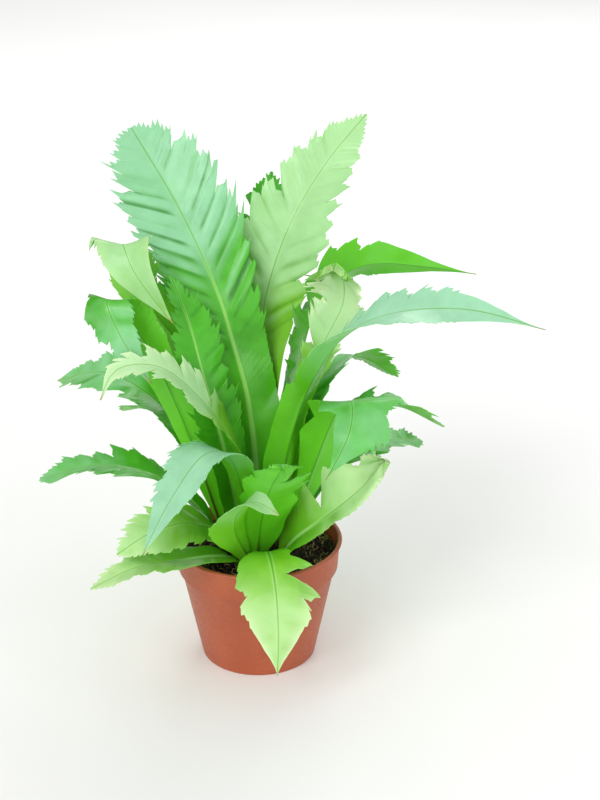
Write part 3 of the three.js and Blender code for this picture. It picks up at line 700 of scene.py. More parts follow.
# %% Looks of single fronds
#   saw     the size of the small teeth beside the usual, left and right
#   pleat   the strength of the pleats beside the usual
#   pale    where along the blade it starts to turn pale, where it is palest, and how pale
#     mint_sheen how far the pale part turns to mint, partly its young tone and partly painted sheen,
#             cream how far the last part turns to cream, and edge how far the margins do
#   rib     where the midrib turns from a pale cord to a dark line
#   frill   the height of the folds round a blunt end
#   back    how far that end turns green again
PLAIN_LOOK = dict(
    saw=[1, 1], pleat=0.8, pale=[0.45, 0.7, 0.5], mint_sheen=0.1, cream=0, edge=0, rib=0.45, frill=0, back=0,
)
LOOKS = {
    "frond_tall": dict(saw=[2.1, 1.9], pleat=1.5, pale=[0.52, 0.72, 0.85], mint_sheen=0.55, rib=0.62),
    "frond_light": dict(saw=[0.9, 1.1], pleat=2, pale=[0.42, 0.66, 1], mint_sheen=0.3, cream=0.08),
    "frond_middle": dict(saw=[1.3, 0.9], pleat=0.5, pale=[0.7, 0.98, 0.2], mint_sheen=0, rib=0.9),
    "frond_arch_right": dict(saw=[0.8, 1.2], pleat=0.5, pale=[0.4, 0.56, 1], mint_sheen=0.8),
    "frond_cup": dict(saw=[2, 2], pleat=1.2, pale=[0.58, 0.8, 1],
                      mint_sheen=0.4, cream=0.7, edge=0.5, frill=3, back=0.8),
    "frond_dark_arch": dict(saw=[1, 0.7], pleat=0.6, pale=[0.6, 0.8, 0.3]),
    "frond_right_fold": dict(saw=[0.5, 0.8], pleat=0.5, pale=[0.5, 0.8, 0.5], mint_sheen=0.2),
    "frond_low_right": dict(saw=[0.7, 0.8], pleat=0.8, pale=[0.3, 0.7, 0.8],
                            cream=0.4, edge=0.3, frill=2.5),
    "frond_front": dict(saw=[0.8, 0.7], pleat=0.6, pale=[0.3, 0.7, 0.6],
                        mint_sheen=0, cream=0.25, edge=0.5, rib=0.1),
    "frond_short_front": dict(saw=[0.8, 0.8], pleat=0.5, pale=[0.4, 0.9, 0.35], frill=1.5),
    "frond_cross": dict(saw=[0.7, 0.7], pleat=0.4, pale=[0.4, 0.7, 0.8], mint_sheen=0.3),
    "frond_left_fold": dict(saw=[2.4, 0.6], pleat=0.3, pale=[0.35, 0.55, 1], mint_sheen=0.75),
    "frond_low_left": dict(saw=[0.9, 0.7], pleat=0.6, pale=[0.4, 0.9, 0.6],
                           cream=0.12, edge=0.3),
    "frond_low_left_under": dict(saw=[0.6, 0.9], pleat=0.5, pale=[0.4, 0.9, 0.5],
                                 cream=0.4, edge=0.3),
    "frond_curl_left": dict(saw=[1.5, 1.1], pleat=0.8, pale=[0.44, 0.66, 1],
                            mint_sheen=0.4, cream=0.35, edge=0.4),
    "frond_left_stand": dict(saw=[1.2, 1.3], pleat=0.7, pale=[0.75, 1, 0.3], mint_sheen=0, rib=0.8),
    "frond_left_bend": dict(saw=[1, 1], pleat=0.7, pale=[0.5, 0.8, 0.6], mint_sheen=0.3, edge=0.2),
    "frond_left_drop": dict(saw=[1, 1.2], pleat=0.7, pale=[0.6, 0.95, 0.7], mint_sheen=0.4, rib=0.5),
}
for frond in fronds:
    frond["look"] = PLAIN_LOOK | LOOKS.get(frond["name"], {})
print("fronds with a look of their own:", len(LOOKS))

# %% [markdown]
# ## A spine for each frond
# A leaf is built on its midrib. The points of the path are joined by a Catmull-Rom curve, the kind that
# passes through every point and never loops between close ones, and the curve is measured by its own
# length, so that rows of the blade keep an even distance on bends too.

# %% A curve through points
def catmull_rom(points, steps=60):
    """A cubic from p1 to p2 for each four points in a row. Its end slopes are the mean of the slopes on
    both sides, and the knots lie apart by the square root of the points' distance."""
    points = np.vstack([2 * points[0] - points[1], points, 2 * points[-1] - points[-2]])
    p0, p1, p2, p3 = points[:-3], points[1:-2], points[2:-1], points[3:]
    pairs = ((p0, p1), (p1, p2), (p2, p3))
    d0, d1, d2 = (np.sqrt(np.linalg.norm(b - a, axis=1))[:, None] for a, b in pairs)
    m1 = d1 * ((p1 - p0) / d0 - (p2 - p0) / (d0 + d1) + (p2 - p1) / d1)
    m2 = d1 * ((p2 - p1) / d1 - (p3 - p1) / (d1 + d2) + (p3 - p2) / d2)
    t = np.linspace(0, 1, steps, endpoint=False)[None, :, None]
    p1, p2, m1, m2 = (v[:, None, :] for v in (p1, p2, m1, m2))
    curve = p1 + m1 * t + (3 * (p2 - p1) - 2 * m1 - m2) * t ** 2 + (2 * (p1 - p2) + m1 + m2) * t ** 3
    return np.vstack([curve.reshape(-1, 3), points[-2]])


def unit(vectors):
    """The vectors at length 1: each divided by its own length."""
    return vectors / np.linalg.norm(vectors, axis=-1, keepdims=True)


print("points on the tall frond's curve:", len(catmull_rom(np.array(FRONDS[0]["path"], float))))

# %% Spine
SPINE_STEPS = 1200
EASE = 9


def smoothed(numbers, length):
    """The mean of the numbers over a window of EASE mm. The window shrinks to nothing at both ends, so
    that the ends stay in place."""
    total = np.concatenate([[0], np.cumsum(numbers)])
    k = np.arange(numbers.size)
    half = np.minimum(np.minimum(k, numbers.size - 1 - k), round(EASE / 2 / length * numbers.size))
    return (total[k + half + 1] - total[k - half]) / (2 * half + 1)


class Spine:
    """A frond's midrib, kept as points at even steps of its length, with the blade's side and upward
    directions at any length along it."""

    def __init__(self, frond):
        angle, radius = frond["foot"]
        foot = turned([radius, 0, FROND_FOOT], angle)
        curve = catmull_rom(np.vstack([foot, frond["path"]]))
        gone = np.concatenate([[0], np.cumsum(np.linalg.norm(np.diff(curve, axis=0), axis=1))])
        self.length = gone[-1]
        self.at = np.linspace(0, self.length, SPINE_STEPS)
        self.points = np.stack([np.interp(self.at, gone, axis) for axis in curve.T], -1)
        self.points = np.stack([smoothed(axis, self.length) for axis in self.points.T], -1)
        self.along = unit(np.gradient(self.points, self.at, axis=0))
        self.across = turned([0, 1, 0], frond["lean"])
        self.roll = np.radians(frond["turn"])

    def frame(self, s):
        """The point at length s, the side direction and the upward one. The side is the frond's across
        direction made square to the spine, then rolled about it, more and more towards the tip. Past
        its end the spine goes straight on."""
        point = np.stack([np.interp(s, self.at, axis) for axis in self.points.T], -1)
        along = unit(np.stack([np.interp(s, self.at, axis) for axis in self.along.T], -1))
        point = point + along * np.maximum(s - self.length, 0)[..., None]
        side = unit(self.across - (along @ self.across)[..., None] * along)
        share = ramp(0.15, 0.9, s / self.length)
        roll = (self.roll[0] + (self.roll[1] - self.roll[0]) * share)[..., None]
        side = side * np.cos(roll) + np.cross(along, side) * np.sin(roll)
        return point, side, np.cross(along, side)


spines = [Spine(frond) for frond in fronds]
print("longest frond in mm:", round(max(spine.length for spine in spines)))

# %% [markdown]
# ## Width
# A frond is a stalk at its foot, then a plain strap, and then a blade that is widest past its middle
# and closes towards the tip. It could be an outline drawn by hand for each frond. One formula with a
# few values is better here: all the fronds grow by the same rule, and the teeth are cut afterwards.

# %% Half the width
STALK_HALF_WIDTH = 2.3
TIP_HALF_WIDTH = 0.7
STALK_ENDS = (0.04, 0.24)
STRAP_END = 0.22


def half_width(frond, t):
    """Half the width before the teeth: a stalk that widens to the strap, the strap to the peak, and a
    tail that closes as (1 - p^2) to a power, where p is the share of the way past the peak."""
    strap = frond["strap"] * frond["half"]
    width = STALK_HALF_WIDTH + (strap - STALK_HALF_WIDTH) * ramp(*STALK_ENDS, t)
    width = width + (frond["half"] - strap) * ramp(frond.get("widens", STRAP_END), frond["peak"], t)
    past = np.clip((t - frond["peak"]) / (1 - frond["peak"]), 0, 1)
    return np.maximum(width * (1 - past ** 2) ** frond["tail"], TIP_HALF_WIDTH * (1.3 - t))


print("half widths of the tall frond:", half_width(FRONDS[0], np.linspace(0, 1, 6)).round(1))

# %% [markdown]
# ## Teeth
# The edge of this leaf is cut twice. Large uneven teeth lean towards the tip, and their backs carry a
# row of small sharp ones, like a saw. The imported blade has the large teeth, with a row of points on
# each tip and each notch. Here each gap between two of its rows is filled with whole small teeth of
# five rows each, so that no point of the saw is ever cut off.

# %% Rows and large teeth
STALK_ROWS = [0, 0.04, 0.09, 0.15]
ROW_STEP = 0.08
ROW_UNEVEN = 0.24
NARROWEST = 0.25
DEEPER_FROM = 0.7
GROWN = 5


def rows_of(frond):
    """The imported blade's rows as shares of its length, and the number of the first toothed row."""
    plain = np.arange(0.22, frond["first"] - ROW_STEP / 2, ROW_STEP)
    k = np.arange(2 * frond["teeth"])
    pitch = (frond["last"] - frond["first"]) / k.size
    toothed = frond["first"] + pitch * (k + ROW_UNEVEN * np.sin(2.7 * k + frond["seed"]))
    rows = np.concatenate([STALK_ROWS, plain, toothed, np.arange(frond["last"], 0.97, 0.07), [1]])
    return rows, len(STALK_ROWS) + plain.size


def tooth_share(frond, k, side):
    """The share of the half width at toothed row k: over 1 on a tip, under 1 in a notch. The first
    teeth grow to full size, and here and there a notch is cut deeper."""
    grown = np.minimum(1, (k + 1) / frond.get("grown", GROWN))
    uneven = 0.5 + 0.3 * np.sin(1.9 * k * side + 2.3 * frond["seed"])
    deep = np.sin(2.4 * k + 9 * frond["seed"] + side) > DEEPER_FROM
    on_tip = (k + (side > 0)) % 2 == 0
    cut = frond["cut"][side > 0]
    return np.maximum(1 + grown * cut * np.where(on_tip, 0.5 * uneven, -uneven - deep), NARROWEST)


print("packed rows of the tall frond:", rows_of(FRONDS[0])[0].size)

# %% Small teeth
SMALL_TOOTH = 5
SMALL_ROWS = 5
SMALL_DEPTH = 1.9
SPIKE_DEPTH = 2
SPIKES_FROM = 0.84
PLAIN_STEP = 3.5
BACK_CURVE = 0.85
DROP_CURVE = 1.15


def stations_of(frond, length):
    """Finer rows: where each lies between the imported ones, as a row number with a fraction, and how
    many small teeth each gap between two packed rows has."""
    rows, first = rows_of(frond)
    number = np.arange(rows.size - 1)
    gap = np.hypot(np.diff(rows) * length, np.diff(half_width(frond, rows)))
    blunt = (number == rows.size - 2) & (frond["tail"] <= 1)
    toothed = (number >= first - 1) & (number < first + 2 * frond["teeth"]) | blunt
    small = np.where(toothed, np.maximum(1, np.round(gap / SMALL_TOOTH)), 0).astype(int)
    steps = np.where(toothed, small * SMALL_ROWS, np.maximum(2, np.round(gap / PLAIN_STEP))).astype(int)
    place_in = np.concatenate([k + np.arange(n) / n for k, n in zip(number, steps)] + [[rows.size - 1]])
    ending = np.clip(place_in - (rows.size - 2), 0, 1)
    return rows, first, np.where(ending > 0, rows.size - 1 - (1 - ending) ** 2, place_in), small


def edge_shares(frond, rows, first, place_in, small, side):
    """The large teeth as a share of the half width at each row of one side, and the small teeth in mm.
    A large tooth rises to its tip as x^0.85 and falls behind it as 1 - (1 - x)^1.15. A small one is a
    saw: it grows over four rows and drops back at the fifth, and chance makes some of them spikes."""
    k = np.arange(2 * frond["teeth"])
    shares = np.ones(rows.size)
    shares[first:first + k.size] = tooth_share(frond, k, side)
    low = np.minimum(place_in.astype(int), rows.size - 2)
    x = place_in - low
    a, b = shares[low], shares[low + 1]
    share = a + (b - a) * np.where(b > a, x ** BACK_CURVE, 1 - (1 - x) ** DROP_CURVE)
    turn = x * np.maximum(small[low], 1)
    key = 37 * low + 11 * turn.astype(int) + 5 * side + round(97 * frond["seed"])
    chance = LATTICE[key.astype(int) % LATTICE.size]
    depth = SMALL_DEPTH * (0.35 + chance) * np.where(chance > SPIKES_FROM, SPIKE_DEPTH, 1)
    saw = np.where(small[low] > 0, (turn % 1) / (1 - 1 / SMALL_ROWS) - 0.4, 0)
    grown = np.clip((place_in - first + 1) / frond.get("grown", GROWN), 0.15, 1)
    uneven = 0.35 * noise(3.1 * place_in, 0.5 * side, frond["seed"])
    return share, grown * depth * saw * frond["look"]["saw"][side > 0] + uneven


print("rows of its leaf:", stations_of(FRONDS[0], spines[0].length)[2].size)

# %% [markdown]
# ## The blade
# The blade is a function of two numbers: t along the frond and u across it, from -1 at one edge to 1
# at the other. Everything that shapes a real leaf is added along its upward direction: the fold of the
# two halves, the slow waves of the edge, a pleat for each tooth, the ripple of the side veins and the
# round midrib, which is a keel below. Both skins come from the same middle surface, so the leaf is
# thick at the rib and thin at the edge.

# %% Relief
WAVES = 19
PLEAT = 0.5
PLEAT_CHANGE = 17
SWELL = 1.7
SWELL_LENGTH = 13
FRILL_FOLDS = 12
RIPPLE = 0.035
RIPPLE_LENGTH = 4.6


def blade_relief(frond, t, u, side, width, place_in, first, reach, length):
    """Height over the folded blade: the edge's slow waves, a pleat that crests on each tooth's tip and
    sinks in its notches, broad swells and dents, the ripple of the side veins and the folds round a
    blunt end, all fading out at the midrib."""
    size = width / frond["half"]
    slow = frond["ruffle"] * np.abs(u) ** 1.5 * size * np.sin(WAVES * t + frond["seed"] + 1.3 * side)
    toothed = ramp(frond["first"] - 0.06, frond["first"] + 0.12, t) * (1 - ramp(0.9, 1, t))
    crest = np.cos(math.pi * (place_in - first + (side > 0)))
    s = t * length
    strength = 0.55 + 0.6 * noise(s / PLEAT_CHANGE, 1.5 * side, frond["seed"] * 5)
    strength = strength * (1 - 0.75 * ramp(0.58, 0.84, t)) * frond["look"]["pleat"]
    pleat = PLEAT * size * toothed * crest * strength * np.abs(u) ** 0.8 * (1 - 0.45 * u ** 2)
    spread = np.arctan2(side * reach, length * (1 - t) + 0.3 * width)
    frill = frond["look"]["frill"] * np.maximum(np.abs(u) ** 3, ramp(0.8, 1, t)) * ramp(0.5, 0.8, t)
    frill = frill * np.sin(FRILL_FOLDS * spread + 2 * np.abs(u) + 4 * frond["seed"])
    swell = noise(s / SWELL_LENGTH, 0.8 * side + 0.7 * u, frond["seed"] * 7) * np.abs(u) ** 0.7
    swell = SWELL * size * swell * (1 - 0.6 * toothed)
    own = noise(t * 9, u * 2.5, frond["seed"] * 3)
    ripple = RIPPLE * np.sin(2 * math.pi * s / RIPPLE_LENGTH + 3 * own)
    ripple = ripple * ramp(0.6, 5, reach) * (0.45 + 0.55 * toothed) * (1 - 0.5 * np.abs(u) ** 4)
    dents = 0.5 * size * own * np.abs(u)
    return slow + pleat + swell + ripple + dents + frill


print("slow waves along an edge:", round(WAVES / (2 * math.pi), 1))

# %% [markdown]
# A picture wrapped round the leaf could hold its colours, but it would have to be painted for each
# frond. Instead each point of the mesh keeps a few numbers that say where on the leaf it is, and the
# leaf skin turns them into colour.

# %% Numbers for the skin
STREAK_CHANGE = 11
SOFTER_WHEN_PALE = 0.4


def blade_values(frond, t, u, row, length):
    """The numbers that the leaf skin reads, from 0 to 1: how far along the frond a spot is, where the
    midrib turns thin, how pale, creamy and dry the spot is, how far it turns to mint, partly painted
    sheen, and, from -1 in a pleat's valley to 1 on its crest, where it lies across the pleats, which the
    skin turns into painted shade in the valleys and painted sheen on the crests."""
    look = frond["look"]
    side = np.sign(u)
    pale_from, pale_to, palest = look["pale"]
    paling = ramp(pale_from, pale_to, t) * (1 - look["back"] * ramp(0.88, 0.99, t)) + 0 * u
    cream = look["cream"] * ramp(pale_from, 0.97, t) + look["edge"] * u ** 4
    toothed = ramp(frond["first"] - 0.06, frond["first"] + 0.12, t)
    drift = noise(t * length / STREAK_CHANGE, 1.5 * side, frond["seed"] * 9)
    crest = np.cos(math.pi * (row + (side > 0))) * toothed * np.clip(0.6 + 1.1 * drift, 0, 1)
    crest = crest * ramp(0.02, 0.3, np.abs(u)) * min(1, look["pleat"] / 1.5)
    return {
        "along": t + 0 * u,
        "rib_line": ramp(look["rib"] - 0.08, look["rib"] + 0.12, t) + 0 * u,
        "pale": palest * paling,
        "mint_sheen": look["mint_sheen"] * paling,
        "cream": np.clip(cream, 0, 1) * paling,
        "crest": crest * (1 - SOFTER_WHEN_PALE * palest * paling),
        "dry": 0.6 * (frond["tail"] > 1) * ramp(0.97, 1, t) + 0 * u,
    }


foot = np.zeros((1, 1))
print("kept at each point:", ", ".join(blade_values(fronds[0], foot, foot, 0, 1)))

# %% Both skins
STALK_DEPTH = 3.2
BLADE_THICKNESS = 0.9
EDGE_THICKNESS = 0.36
RIB_END = 0.75
SWEEP = 0.55
TIP_SWEEP = 0.5
SIDES_PART = (0.08, 0.3)
HALF_COLUMNS = 15
COLUMN_CURVE = 1.5


def blade_points(frond, spine):
    """The two skins of a frond as grids of points, and the numbers that its material reads there."""
    rows, first, place_in, small = stations_of(frond, spine.length)
    column = np.linspace(-1, 1, 2 * HALF_COLUMNS + 1)
    u = (np.sign(column) * np.abs(column) ** COLUMN_CURVE)[None, :]
    side = np.sign(u)
    t = np.interp(place_in, np.arange(rows.size), rows)[:, None]
    left, right = (edge_shares(frond, rows, first, place_in, small, s) for s in (-1, 1))
    share, nick = (np.where(side < 0, a[:, None], b[:, None]) for a, b in zip(left, right))
    share = np.where(side == 0, 1, share) ** np.abs(u) ** 0.6
    sides = np.array(frond.get("sides", [1, 1]))[(side > 0).astype(int)]
    width = half_width(frond, t) * (1 + (np.where(side == 0, 1, sides) - 1) * ramp(*SIDES_PART, t))
    nick = np.clip(nick, -0.3 * width, 0.3 * width) * np.abs(u) ** 6 * ramp(0.12, 0.24, t)
    reach = np.abs(u) * width * share + nick
    ahead = spine.length * (1 - t)
    sweep = frond.get("sweep", SWEEP) + TIP_SWEEP * np.maximum(share - 1, 0)
    forward = np.minimum(sweep * reach, 0.8 * ahead) + nick * (0.7 + 0.6 * ramp(0.9, 1, t))
    point, across, up = spine.frame(t * spine.length + forward)
    fold = np.radians(frond["fold"][0] + (frond["fold"][1] - frond["fold"][0]) * t)
    relief = blade_relief(frond, t, u, side, width, place_in[:, None], first, reach, spine.length)
    lift = reach * np.sin(fold) + relief
    middle = point + across * (side * reach * np.cos(fold))[..., None] + up * lift[..., None]
    rib = (STALK_DEPTH - BLADE_THICKNESS) * (1 - ramp(0.02, RIB_END, t)) ** 1.5
    rib_width = 0.75 + 1.5 * (1 - ramp(0, 0.8, t))
    round_rib = np.exp(-(reach / rib_width) ** 2)
    thick = BLADE_THICKNESS + (EDGE_THICKNESS - BLADE_THICKNESS) * np.abs(u) ** 2
    above = thick / 2 + (0.3 * rib + 0.18) * round_rib
    below = thick / 2 + (0.8 * rib + 0.3) * round_rib
    skins = np.stack([middle + up * above[..., None], middle - up * below[..., None]])
    values = blade_values(frond, t, u, place_in[:, None] - first, spine.length)
    values["rib"] = round_rib + 0 * t
    uv = np.stack([t * spine.length + 0 * reach, side * reach], -1) * MM
    return skins, values, uv


print("skins, rows, columns:", blade_points(fronds[0], spines[0])[0].shape[:3])

# %% Faces of both skins
def skin_faces(rows, columns):
    """Quads of both skins, the strips that close the edges between them, and the two ends."""
    top = grid_faces(rows, columns)
    grid = np.arange(rows * columns).reshape(rows, columns)
    low = grid + grid.size
    left = np.stack([grid[:-1, 0], low[:-1, 0], low[1:, 0], grid[1:, 0]], -1)
    right = np.stack([grid[:-1, -1], grid[1:, -1], low[1:, -1], low[:-1, -1]], -1)
    foot = np.stack([grid[0, :-1], grid[0, 1:], low[0, 1:], low[0, :-1]], -1)
    end = np.stack([grid[-1, :-1], low[-1, :-1], low[-1, 1:], grid[-1, 1:]], -1)
    return [top[:, ::-1], top + grid.size, left, right, foot, end]


print("faces of two skins of 3 by 3 points:", sum(len(g) for g in skin_faces(3, 3)))

# %% Make the fronds
def make_frond(frond, spine):
    """A frond's finished piece: both skins, the numbers at their points and the leaf's UV map."""
    skins, values, uv = blade_points(frond, spine)
    rows, columns = skins.shape[1:3]
    doubled = {key: np.concatenate([number.ravel()] * 2) for key, number in values.items()}
    doubled["under"] = np.repeat([0.0, 1.0], rows * columns)
    slot = "frond_" + frond["tone"]
    piece = mesh_piece(frond["name"] + "_leaf", skins.reshape(-1, 3), skin_faces(rows, columns),
                       leaf_skins[slot], [frond["name"]], doubled)
    layer = piece.data.uv_layers.new(name="leaf")
    corner = np.zeros(len(piece.data.loops), np.int32)
    piece.data.loops.foreach_get("vertex_index", corner)
    both = np.concatenate([uv.reshape(-1, 2)] * 2)
    layer.data.foreach_set("uv", both[corner].astype(np.float32).ravel())
    return piece


leaves = [make_frond(frond, spine) for frond, spine in zip(fronds, spines)]
print("leaves:", len(leaves), "with", sum(triangles(leaf) for leaf in leaves), "triangles in all")

# %% [markdown]
# ## Clay-coloured plastic
# The pot's plastic is dull, in two close tones of clay, with a fine grain from the mould and a little
# soil dust on what faces up. Noise on Object coordinates draws all of it straight onto the pot, so that
# nothing has to be unwrapped.

# %% Pot finish
CLAY, CLAY_LIGHT, CLAY_GRAIN, CLAY_DUST = (168, 78, 44), (182, 92, 56), (132, 56, 30), (112, 78, 52)


def pot_material():
    """Clay-coloured plastic: two close tones, a fine grain and dust on what faces up."""
    material, tree, shader = new_material("pot_plastic")
    wide = place(tree, blotches, Scale=22.0, Sharpness=0.3)["Share"]
    fine = place(tree, blotches, Scale=420.0, Sharpness=0.25)["Share"]
    colour = mix(tree, wide, linear(*CLAY), linear(*CLAY_LIGHT))
    colour = mix(tree, sums(tree, "MULTIPLY", fine, 0.12), colour, linear(*CLAY_GRAIN))
    dust = place(tree, settled_dust, Amount=0.3, Scale=260.0)["Dust"]
    colour = mix(tree, dust, colour, linear(*CLAY_DUST))
    tree.links.new(colour, shader.inputs["Base Color"])
    rough = sums(tree, "ADD", 0.42, sums(tree, "MULTIPLY", fine, 0.12))
    tree.links.new(rough, shader.inputs["Roughness"])
    bumped(tree, shader, fine, 0.2, 0.06 * MM)
    return material


clay_skin = pot_material()
print("pot finish:", len(clay_skin.node_tree.nodes), "nodes")

# %% [markdown]
# ## Pot
# The pot is thin moulded plastic the colour of clay: a tapered body, a wider band that stacked pots
# catch on, and a rolled bead round the top. All of it is one profile turned about the upright axis.
# The drain holes are cut with a Boolean modifier, since a turned profile can't give them.

# %% Pot profile
RIM_RADIUS, POT_HEIGHT, FOOT_RADIUS = 60, 90, 41
WALL, FLOOR, CORNER = 1.6, 2, 1.2
BEAD_HEIGHT, BEAD_OUT = 2.6, 1.6
BAND_HEIGHT, BAND_STEP, BAND_TAPER = 19, 2, 1.4
BAND_FOOT = POT_HEIGHT - BEAD_HEIGHT - BAND_HEIGHT
BAND_RADIUS = RIM_RADIUS - BEAD_OUT
BODY_RADIUS = BAND_RADIUS - BAND_TAPER - BAND_STEP


def arc(middle, radii, start, end, count):
    """Points on an ellipse in the profile's plane, as radius and height."""
    a = np.radians(np.linspace(start, end, count))
    return np.stack([middle[0] + radii[0] * np.cos(a), middle[1] + radii[1] * np.sin(a)], -1)


def pot_profile():
    """Radius and height from the middle of the foot, up the outside, over the bead and down inside."""
    bead = arc((BAND_RADIUS, POT_HEIGHT - BEAD_HEIGHT / 2), (BEAD_OUT, BEAD_HEIGHT / 2), -90, 90, 11)
    foot = arc((FOOT_RADIUS - CORNER, CORNER), (CORNER, CORNER), -90, -6, 5)
    lip = BAND_RADIUS - WALL
    well = FOOT_RADIUS - WALL
    return np.vstack([
        foot, [[BODY_RADIUS - 0.3, BAND_FOOT - 0.8], [BODY_RADIUS + 0.3, BAND_FOOT]],
        arc((BAND_RADIUS - BAND_TAPER - 0.6, BAND_FOOT + 0.9), (0.6, 0.9), -80, 0, 4),
        bead, arc((lip + 0.8, POT_HEIGHT - CORNER), (0.8, CORNER), 100, 180, 4),
        [[lip - BAND_TAPER, BAND_FOOT + CORNER], [BODY_RADIUS - WALL, BAND_FOOT - CORNER]],
        arc((well - CORNER, FLOOR + CORNER), (CORNER, CORNER), 0, -90, 5),
    ])


print("points on the pot's profile:", len(pot_profile()))

# %% Turn and drill the pot
POT_SIDES = 160
SHARP_FROM = math.radians(40)
DRAIN_HOLES, DRAIN_RADIUS, DRAIN_CIRCLE = 8, 3.6, 29


def carried_round(profile, sides):
    """The profile carried round the upright axis: each point at radius r and height z goes to
    (r cos a, r sin a, z) for evenly spaced angles a."""
    a = np.arange(sides) * 2 * math.pi / sides
    radius, height = profile[:, 0][:, None], profile[:, 1][:, None]
    points = np.stack([radius * np.cos(a), radius * np.sin(a), height + 0 * a], -1)
    return points.reshape(-1, 3)


def make_pot():
    """The turned shell, closed at both poles, with a ring of drain holes cut through its floor."""
    profile = pot_profile()
    points = np.vstack([carried_round(profile, POT_SIDES), [[0, 0, 0], [0, 0, FLOOR]]])
    faces = closed_faces(len(profile), POT_SIDES)
    pot = mesh_piece("pot_shell", points, faces, clay_skin, ["pot"])
    drills = []
    for k in range(DRAIN_HOLES):
        a = (k + 0.5) * 2 * math.pi / DRAIN_HOLES
        spot = (DRAIN_CIRCLE * math.cos(a) * MM, DRAIN_CIRCLE * math.sin(a) * MM, 0)
        bpy.ops.mesh.primitive_cylinder_add(
            vertices=32, radius=DRAIN_RADIUS * MM, depth=4 * FLOOR * MM, location=spot)
        drills.append(bpy.context.object)
        cut = pot.modifiers.new(f"drain_{k}", "BOOLEAN")
        cut.object = drills[-1]
        cut.solver = "EXACT"
    drilled = pot.evaluated_get(bpy.context.evaluated_depsgraph_get())
    finished = bpy.data.meshes.new_from_object(drilled)
    pot.modifiers.clear()
    pot.data = finished
    finished.set_sharp_from_angle(angle=SHARP_FROM)
    for drill in drills:
        bpy.data.objects.remove(drill)
    return pot


pot_shell = make_pot()
print("pot:", triangles(pot_shell), "triangles")

# %% [markdown]
# ## Earthy finishes
# Soil, bark, roots and the scales of the crown are all dry and brown. They could be five materials, but
# they are the same sum of blotches with other colours and another scale, so one function makes them.

# %% Earthy finishes
#   dark colour, light colour and the scale of the blotches between them
EARTHY = {
    "soil_bed": ((20, 13, 9), (58, 40, 27), 60.0),
    "soil_crumbs": ((16, 10, 7), (66, 46, 32), 90.0),
    "bark_chips": ((44, 26, 16), (104, 68, 42), 70.0),
    "roots": ((140, 104, 62), (216, 192, 146), 140.0),
    "crown_scales": ((46, 28, 16), (128, 86, 50), 240.0),
}


def earthy_material(name):
    """A dry, dull finish: two blotchy browns, roughened by the finer blotches."""
    dark, light, scale = EARTHY[name]
    material, tree, shader = new_material(name)
    wide = place(tree, blotches, Scale=scale, Sharpness=0.2)["Share"]
    fine = place(tree, blotches, Scale=scale * 9, Sharpness=0.12)["Share"]
    colour = mix(tree, wide, linear(*dark), linear(*light))
    colour = mix(tree, sums(tree, "MULTIPLY", fine, 0.5), colour, linear(*dark))
    tree.links.new(colour, shader.inputs["Base Color"])
    tree.links.new(rise(tree, fine, 0, 1, 0.75, 0.98), shader.inputs["Roughness"])
    bumped(tree, shader, fine, 0.7, 0.5 * MM)
    return material


print("earthy finishes:", ", ".join(EARTHY))

# %% [markdown]
# ## Soil
# Potting soil is a mix of dark crumbs, bark chips and fine pale roots that gather along the pot's
# wall. The bed is a disc whose height is noise at several scales, on a plug that fills the pot. The
# crumbs and chips are small rough lumps, made all at once by giving one lump many sizes, turns and
# places.

# %% Soil bed
SOIL_TOP = 79
SOIL_GAP = 0.35
SOIL_RADIUS = BAND_RADIUS - BAND_TAPER - WALL - SOIL_GAP
SOIL_SIDES = 160
SOIL_RINGS = 54
CLOD = 1.1


def soil_height(x, y):
    """The packed soil's rolling clods, with rough noise on top."""
    clods = 0.5 * np.sin(0.31 * x + 0.6) * np.cos(0.27 * y) + 0.4 * np.sin(0.53 * x - 0.47 * y + 1.1)
    clods = clods + 0.3 * np.cos(0.83 * y + 0.39 * x)
    return SOIL_TOP + CLOD * clods + 0.9 * rough_noise(0.35 * x, 0.35 * y, 2.0)


def make_soil():
    """The bed's rings of points, the plug below it, and a point that closes each end."""
    a = np.arange(SOIL_SIDES) * 2 * math.pi / SOIL_SIDES
    radius = (SOIL_RADIUS * np.linspace(1 / SOIL_RINGS, 1, SOIL_RINGS))[:, None]
    x, y = radius * np.cos(a), radius * np.sin(a)
    top = np.stack([x, y, soil_height(x, y)], -1)
    slack = WALL + SOIL_GAP + 1.5
    plug = np.array([(SOIL_RADIUS, BAND_FOOT + 3), (BODY_RADIUS - slack, BAND_FOOT - 2.5),
                     (FOOT_RADIUS - slack, FLOOR + 3), (FOOT_RADIUS - slack - 2.5, FLOOR + SOIL_GAP)])
    ends = [[0, 0, soil_height(0, 0)], [0, 0, FLOOR + SOIL_GAP]]
    points = np.vstack([top.reshape(-1, 3), carried_round(plug, SOIL_SIDES), ends])
    faces = closed_faces(SOIL_RINGS + len(plug), SOIL_SIDES, turned=True)
    return mesh_piece("soil_bed", points, faces, earthy_material("soil_bed"), ["soil"])


soil_bed = make_soil()
print("soil bed:", triangles(soil_bed), "triangles")

# %% One lump
GOLDEN = (1 + math.sqrt(5)) / 2
NEXT_CORNERS = 1.1


def lump():
    """The 12 corners and 20 faces of an icosahedron, the smallest body that still looks round."""
    ends = [(0, s, r * GOLDEN) for s in (1, -1) for r in (1, -1)]
    corners = unit(np.array([e[k:] + e[:k] for k in range(3) for e in ends], float))
    near = np.linalg.norm(corners[:, None] - corners[None], axis=-1) < NEXT_CORNERS
    faces = []
    for i, j, k in itertools.combinations(range(len(corners)), 3):
        if near[i, j] and near[j, k] and near[i, k]:
            out = np.linalg.det(corners[[i, j, k]]) > 0
            faces.append((i, j, k) if out else (i, k, j))
    return corners, np.array(faces)


print("corners and faces of a lump:", [len(found) for found in lump()])

